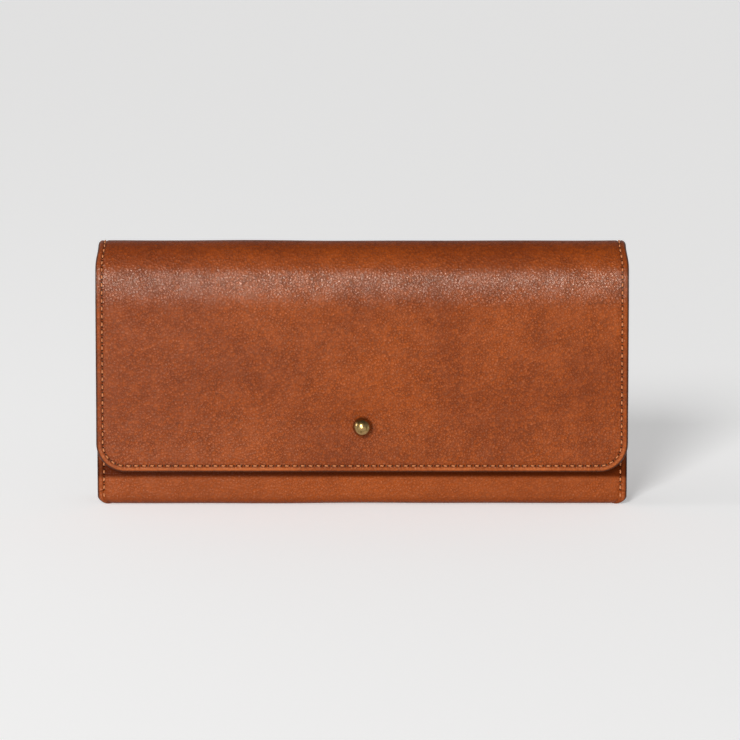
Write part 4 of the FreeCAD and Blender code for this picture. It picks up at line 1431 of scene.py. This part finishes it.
mouth_seam = pocket_high.z - (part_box("coin_pocket_thread")[0].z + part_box("coin_pocket_thread")[1].z) / 2
reach = int((pocket_high.x - 5 * MM) / STITCH)
mouth_places = [
    ((k + 0.5) * STITCH, s, 1, 0)
    for s in (mouth_seam, pocket_route[0][5] - mouth_seam)
    for k in range(-reach, reach)
]
mouth_thread = lay_stitches("coin_pocket_stitches", mouth_places, 0.0, GOLD_THREAD, pocket_route[1])
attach(mouth_thread, "divider")
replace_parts(mouth_thread, "coin_pocket_thread")


# ---- Zip: two woven tapes, a row of brass teeth clamped on each, stops, and a slider with its pull ----
# The tapes' inner edges run beside each other under the teeth. Their outer edges hang in the pocket's mouth.
TAPE_WEAVE = cloth_look("zip_tape_weave", (0.030, 0.012, 0.006), (0.085, 0.038, 0.02), 0.45, 1.6, 0.15)
TAPE = 0.35 * MM


def make_tape(name, node, side):
    low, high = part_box(node)
    middle = (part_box("zip_tape_front")[0].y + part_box("zip_tape_rear")[1].y) / 2
    near = (low.y if side > 0 else high.y) - middle
    far = (high.y if side > 0 else low.y) - middle
    flat = abs(far - near)
    r = 0.6 * MM
    hang = high.z - low.z
    stops = np.cumsum([0, flat - r, r * math.pi / 2, hang - r])
    ends = [(0.0, 1), (stops[3], -1)]
    lines = [stops[1], *steps(stops[1], stops[2], 0.25 * MM), stops[2], *steps(stops[2], stops[3], 2 * MM)]
    tape = cut_flat(name, high.x, 0.0, stops[3], ends, 0, lines, thick=TAPE, rings=(0.08,), gap=6)
    co = points_of(tape)
    x, s, h = co.T
    a = np.pi / 2 - (s - stops[1]) / r
    out = np.select([s <= stops[1], s <= stops[2]], [s, stops[1] + (r + h) * np.cos(a)], stops[1] + r + h)
    bent_z = high.z - r + (r + h) * np.sin(a)
    z = np.select([s <= stops[1], s <= stops[2]], [high.z + h, bent_z], high.z - r - (s - stops[2]))
    set_points(tape, np.column_stack([x, middle + near + side * out, z]))
    mark(tape, "hide", np.column_stack([s, x, h]))
    if side < 0:
        tape.data.flip_normals()
    bpy.ops.object.shade_smooth_by_angle(angle=math.radians(50))
    tape.data.materials.append(TAPE_WEAVE)
    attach(tape, "divider")
    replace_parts(tape, node)


make_tape("rear_zip_tape", "zip_tape_rear", 1)
make_tape("front_zip_tape", "zip_tape_front", -1)

ZIP_BRASS = brass_look("zip_brass", (0.60, 0.42, 0.19), (0.36, 0.23, 0.09), 0.28)
TOOTH_GAP = 1.5 * MM


def one_tooth():
    """A stamped tooth: a waisted bar with a domed nib at its tip. It points along -Y, its foot at y = 0."""
    deselect_all()
    bpy.ops.mesh.primitive_cube_add(size=1)
    tooth = bpy.context.object
    bpy.ops.object.mode_set(mode="EDIT")
    bpy.ops.transform.resize(value=(0.8, 1.7, 1.3))
    bpy.ops.mesh.bisect(plane_co=(0, 0.0, 0), plane_no=(0, 1, 0))
    bpy.ops.mesh.select_all(action="SELECT")
    bpy.ops.mesh.bisect(plane_co=(0, -0.45, 0), plane_no=(0, 1, 0))
    bpy.ops.mesh.select_all(action="SELECT")
    bpy.ops.mesh.bevel(offset=0.12, segments=1, affect="EDGES")
    bpy.ops.object.mode_set(mode="OBJECT")
    co = points_of(tooth)
    waist = 1 - 0.32 * np.exp(-((co[:, 1] / 0.3) ** 2))
    nib = 1 + 0.12 * np.exp(-(((co[:, 1] + 0.6) / 0.25) ** 2))
    shape = np.column_stack([co[:, 0] * waist * nib, co[:, 1], co[:, 2]]) * MM
    faces = [tuple(p.vertices) for p in tooth.data.polygons]
    bpy.data.objects.remove(tooth)
    return shape, faces


TOOTH_SHAPE, TOOTH_FACES = one_tooth()


def lay_teeth(name, node, side, offset):
    low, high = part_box(node)
    middle = (low.y + high.y) / 2
    count = int((high.x - low.x) / TOOTH_GAP) - 1
    rows, faces = [], []
    for k in range(count):
        x = low.x + (k + 0.75 + offset) * TOOTH_GAP
        first = k * len(TOOTH_SHAPE)
        rows.append(TOOTH_SHAPE * (1, side, 1) + (x, middle, (low.z + high.z) / 2))
        faces += [tuple(first + i for i in f) for f in TOOTH_FACES]
    teeth = from_points(name, np.vstack(rows).tolist(), [], faces)
    face_outwards()
    bpy.ops.object.shade_smooth_by_angle(angle=math.radians(30))
    teeth.data.materials.append(ZIP_BRASS)
    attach(teeth, "divider")
    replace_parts(teeth, node)


lay_teeth("rear_zip_teeth", "zip_coil_rear", 1, 0.0)
lay_teeth("front_zip_teeth", "zip_coil_front", -1, 0.5)
machined("zip_stops", "zip_end_stops", 0.15 * MM, ZIP_BRASS)
machined("zip_slider_body", "zip_slider", 0.3 * MM, ZIP_BRASS)
machined("zip_slider_bail", "zip_bail", 0.2 * MM, ZIP_BRASS)
machined("zip_pull_tab", "zip_puller", 0.25 * MM, ZIP_BRASS)
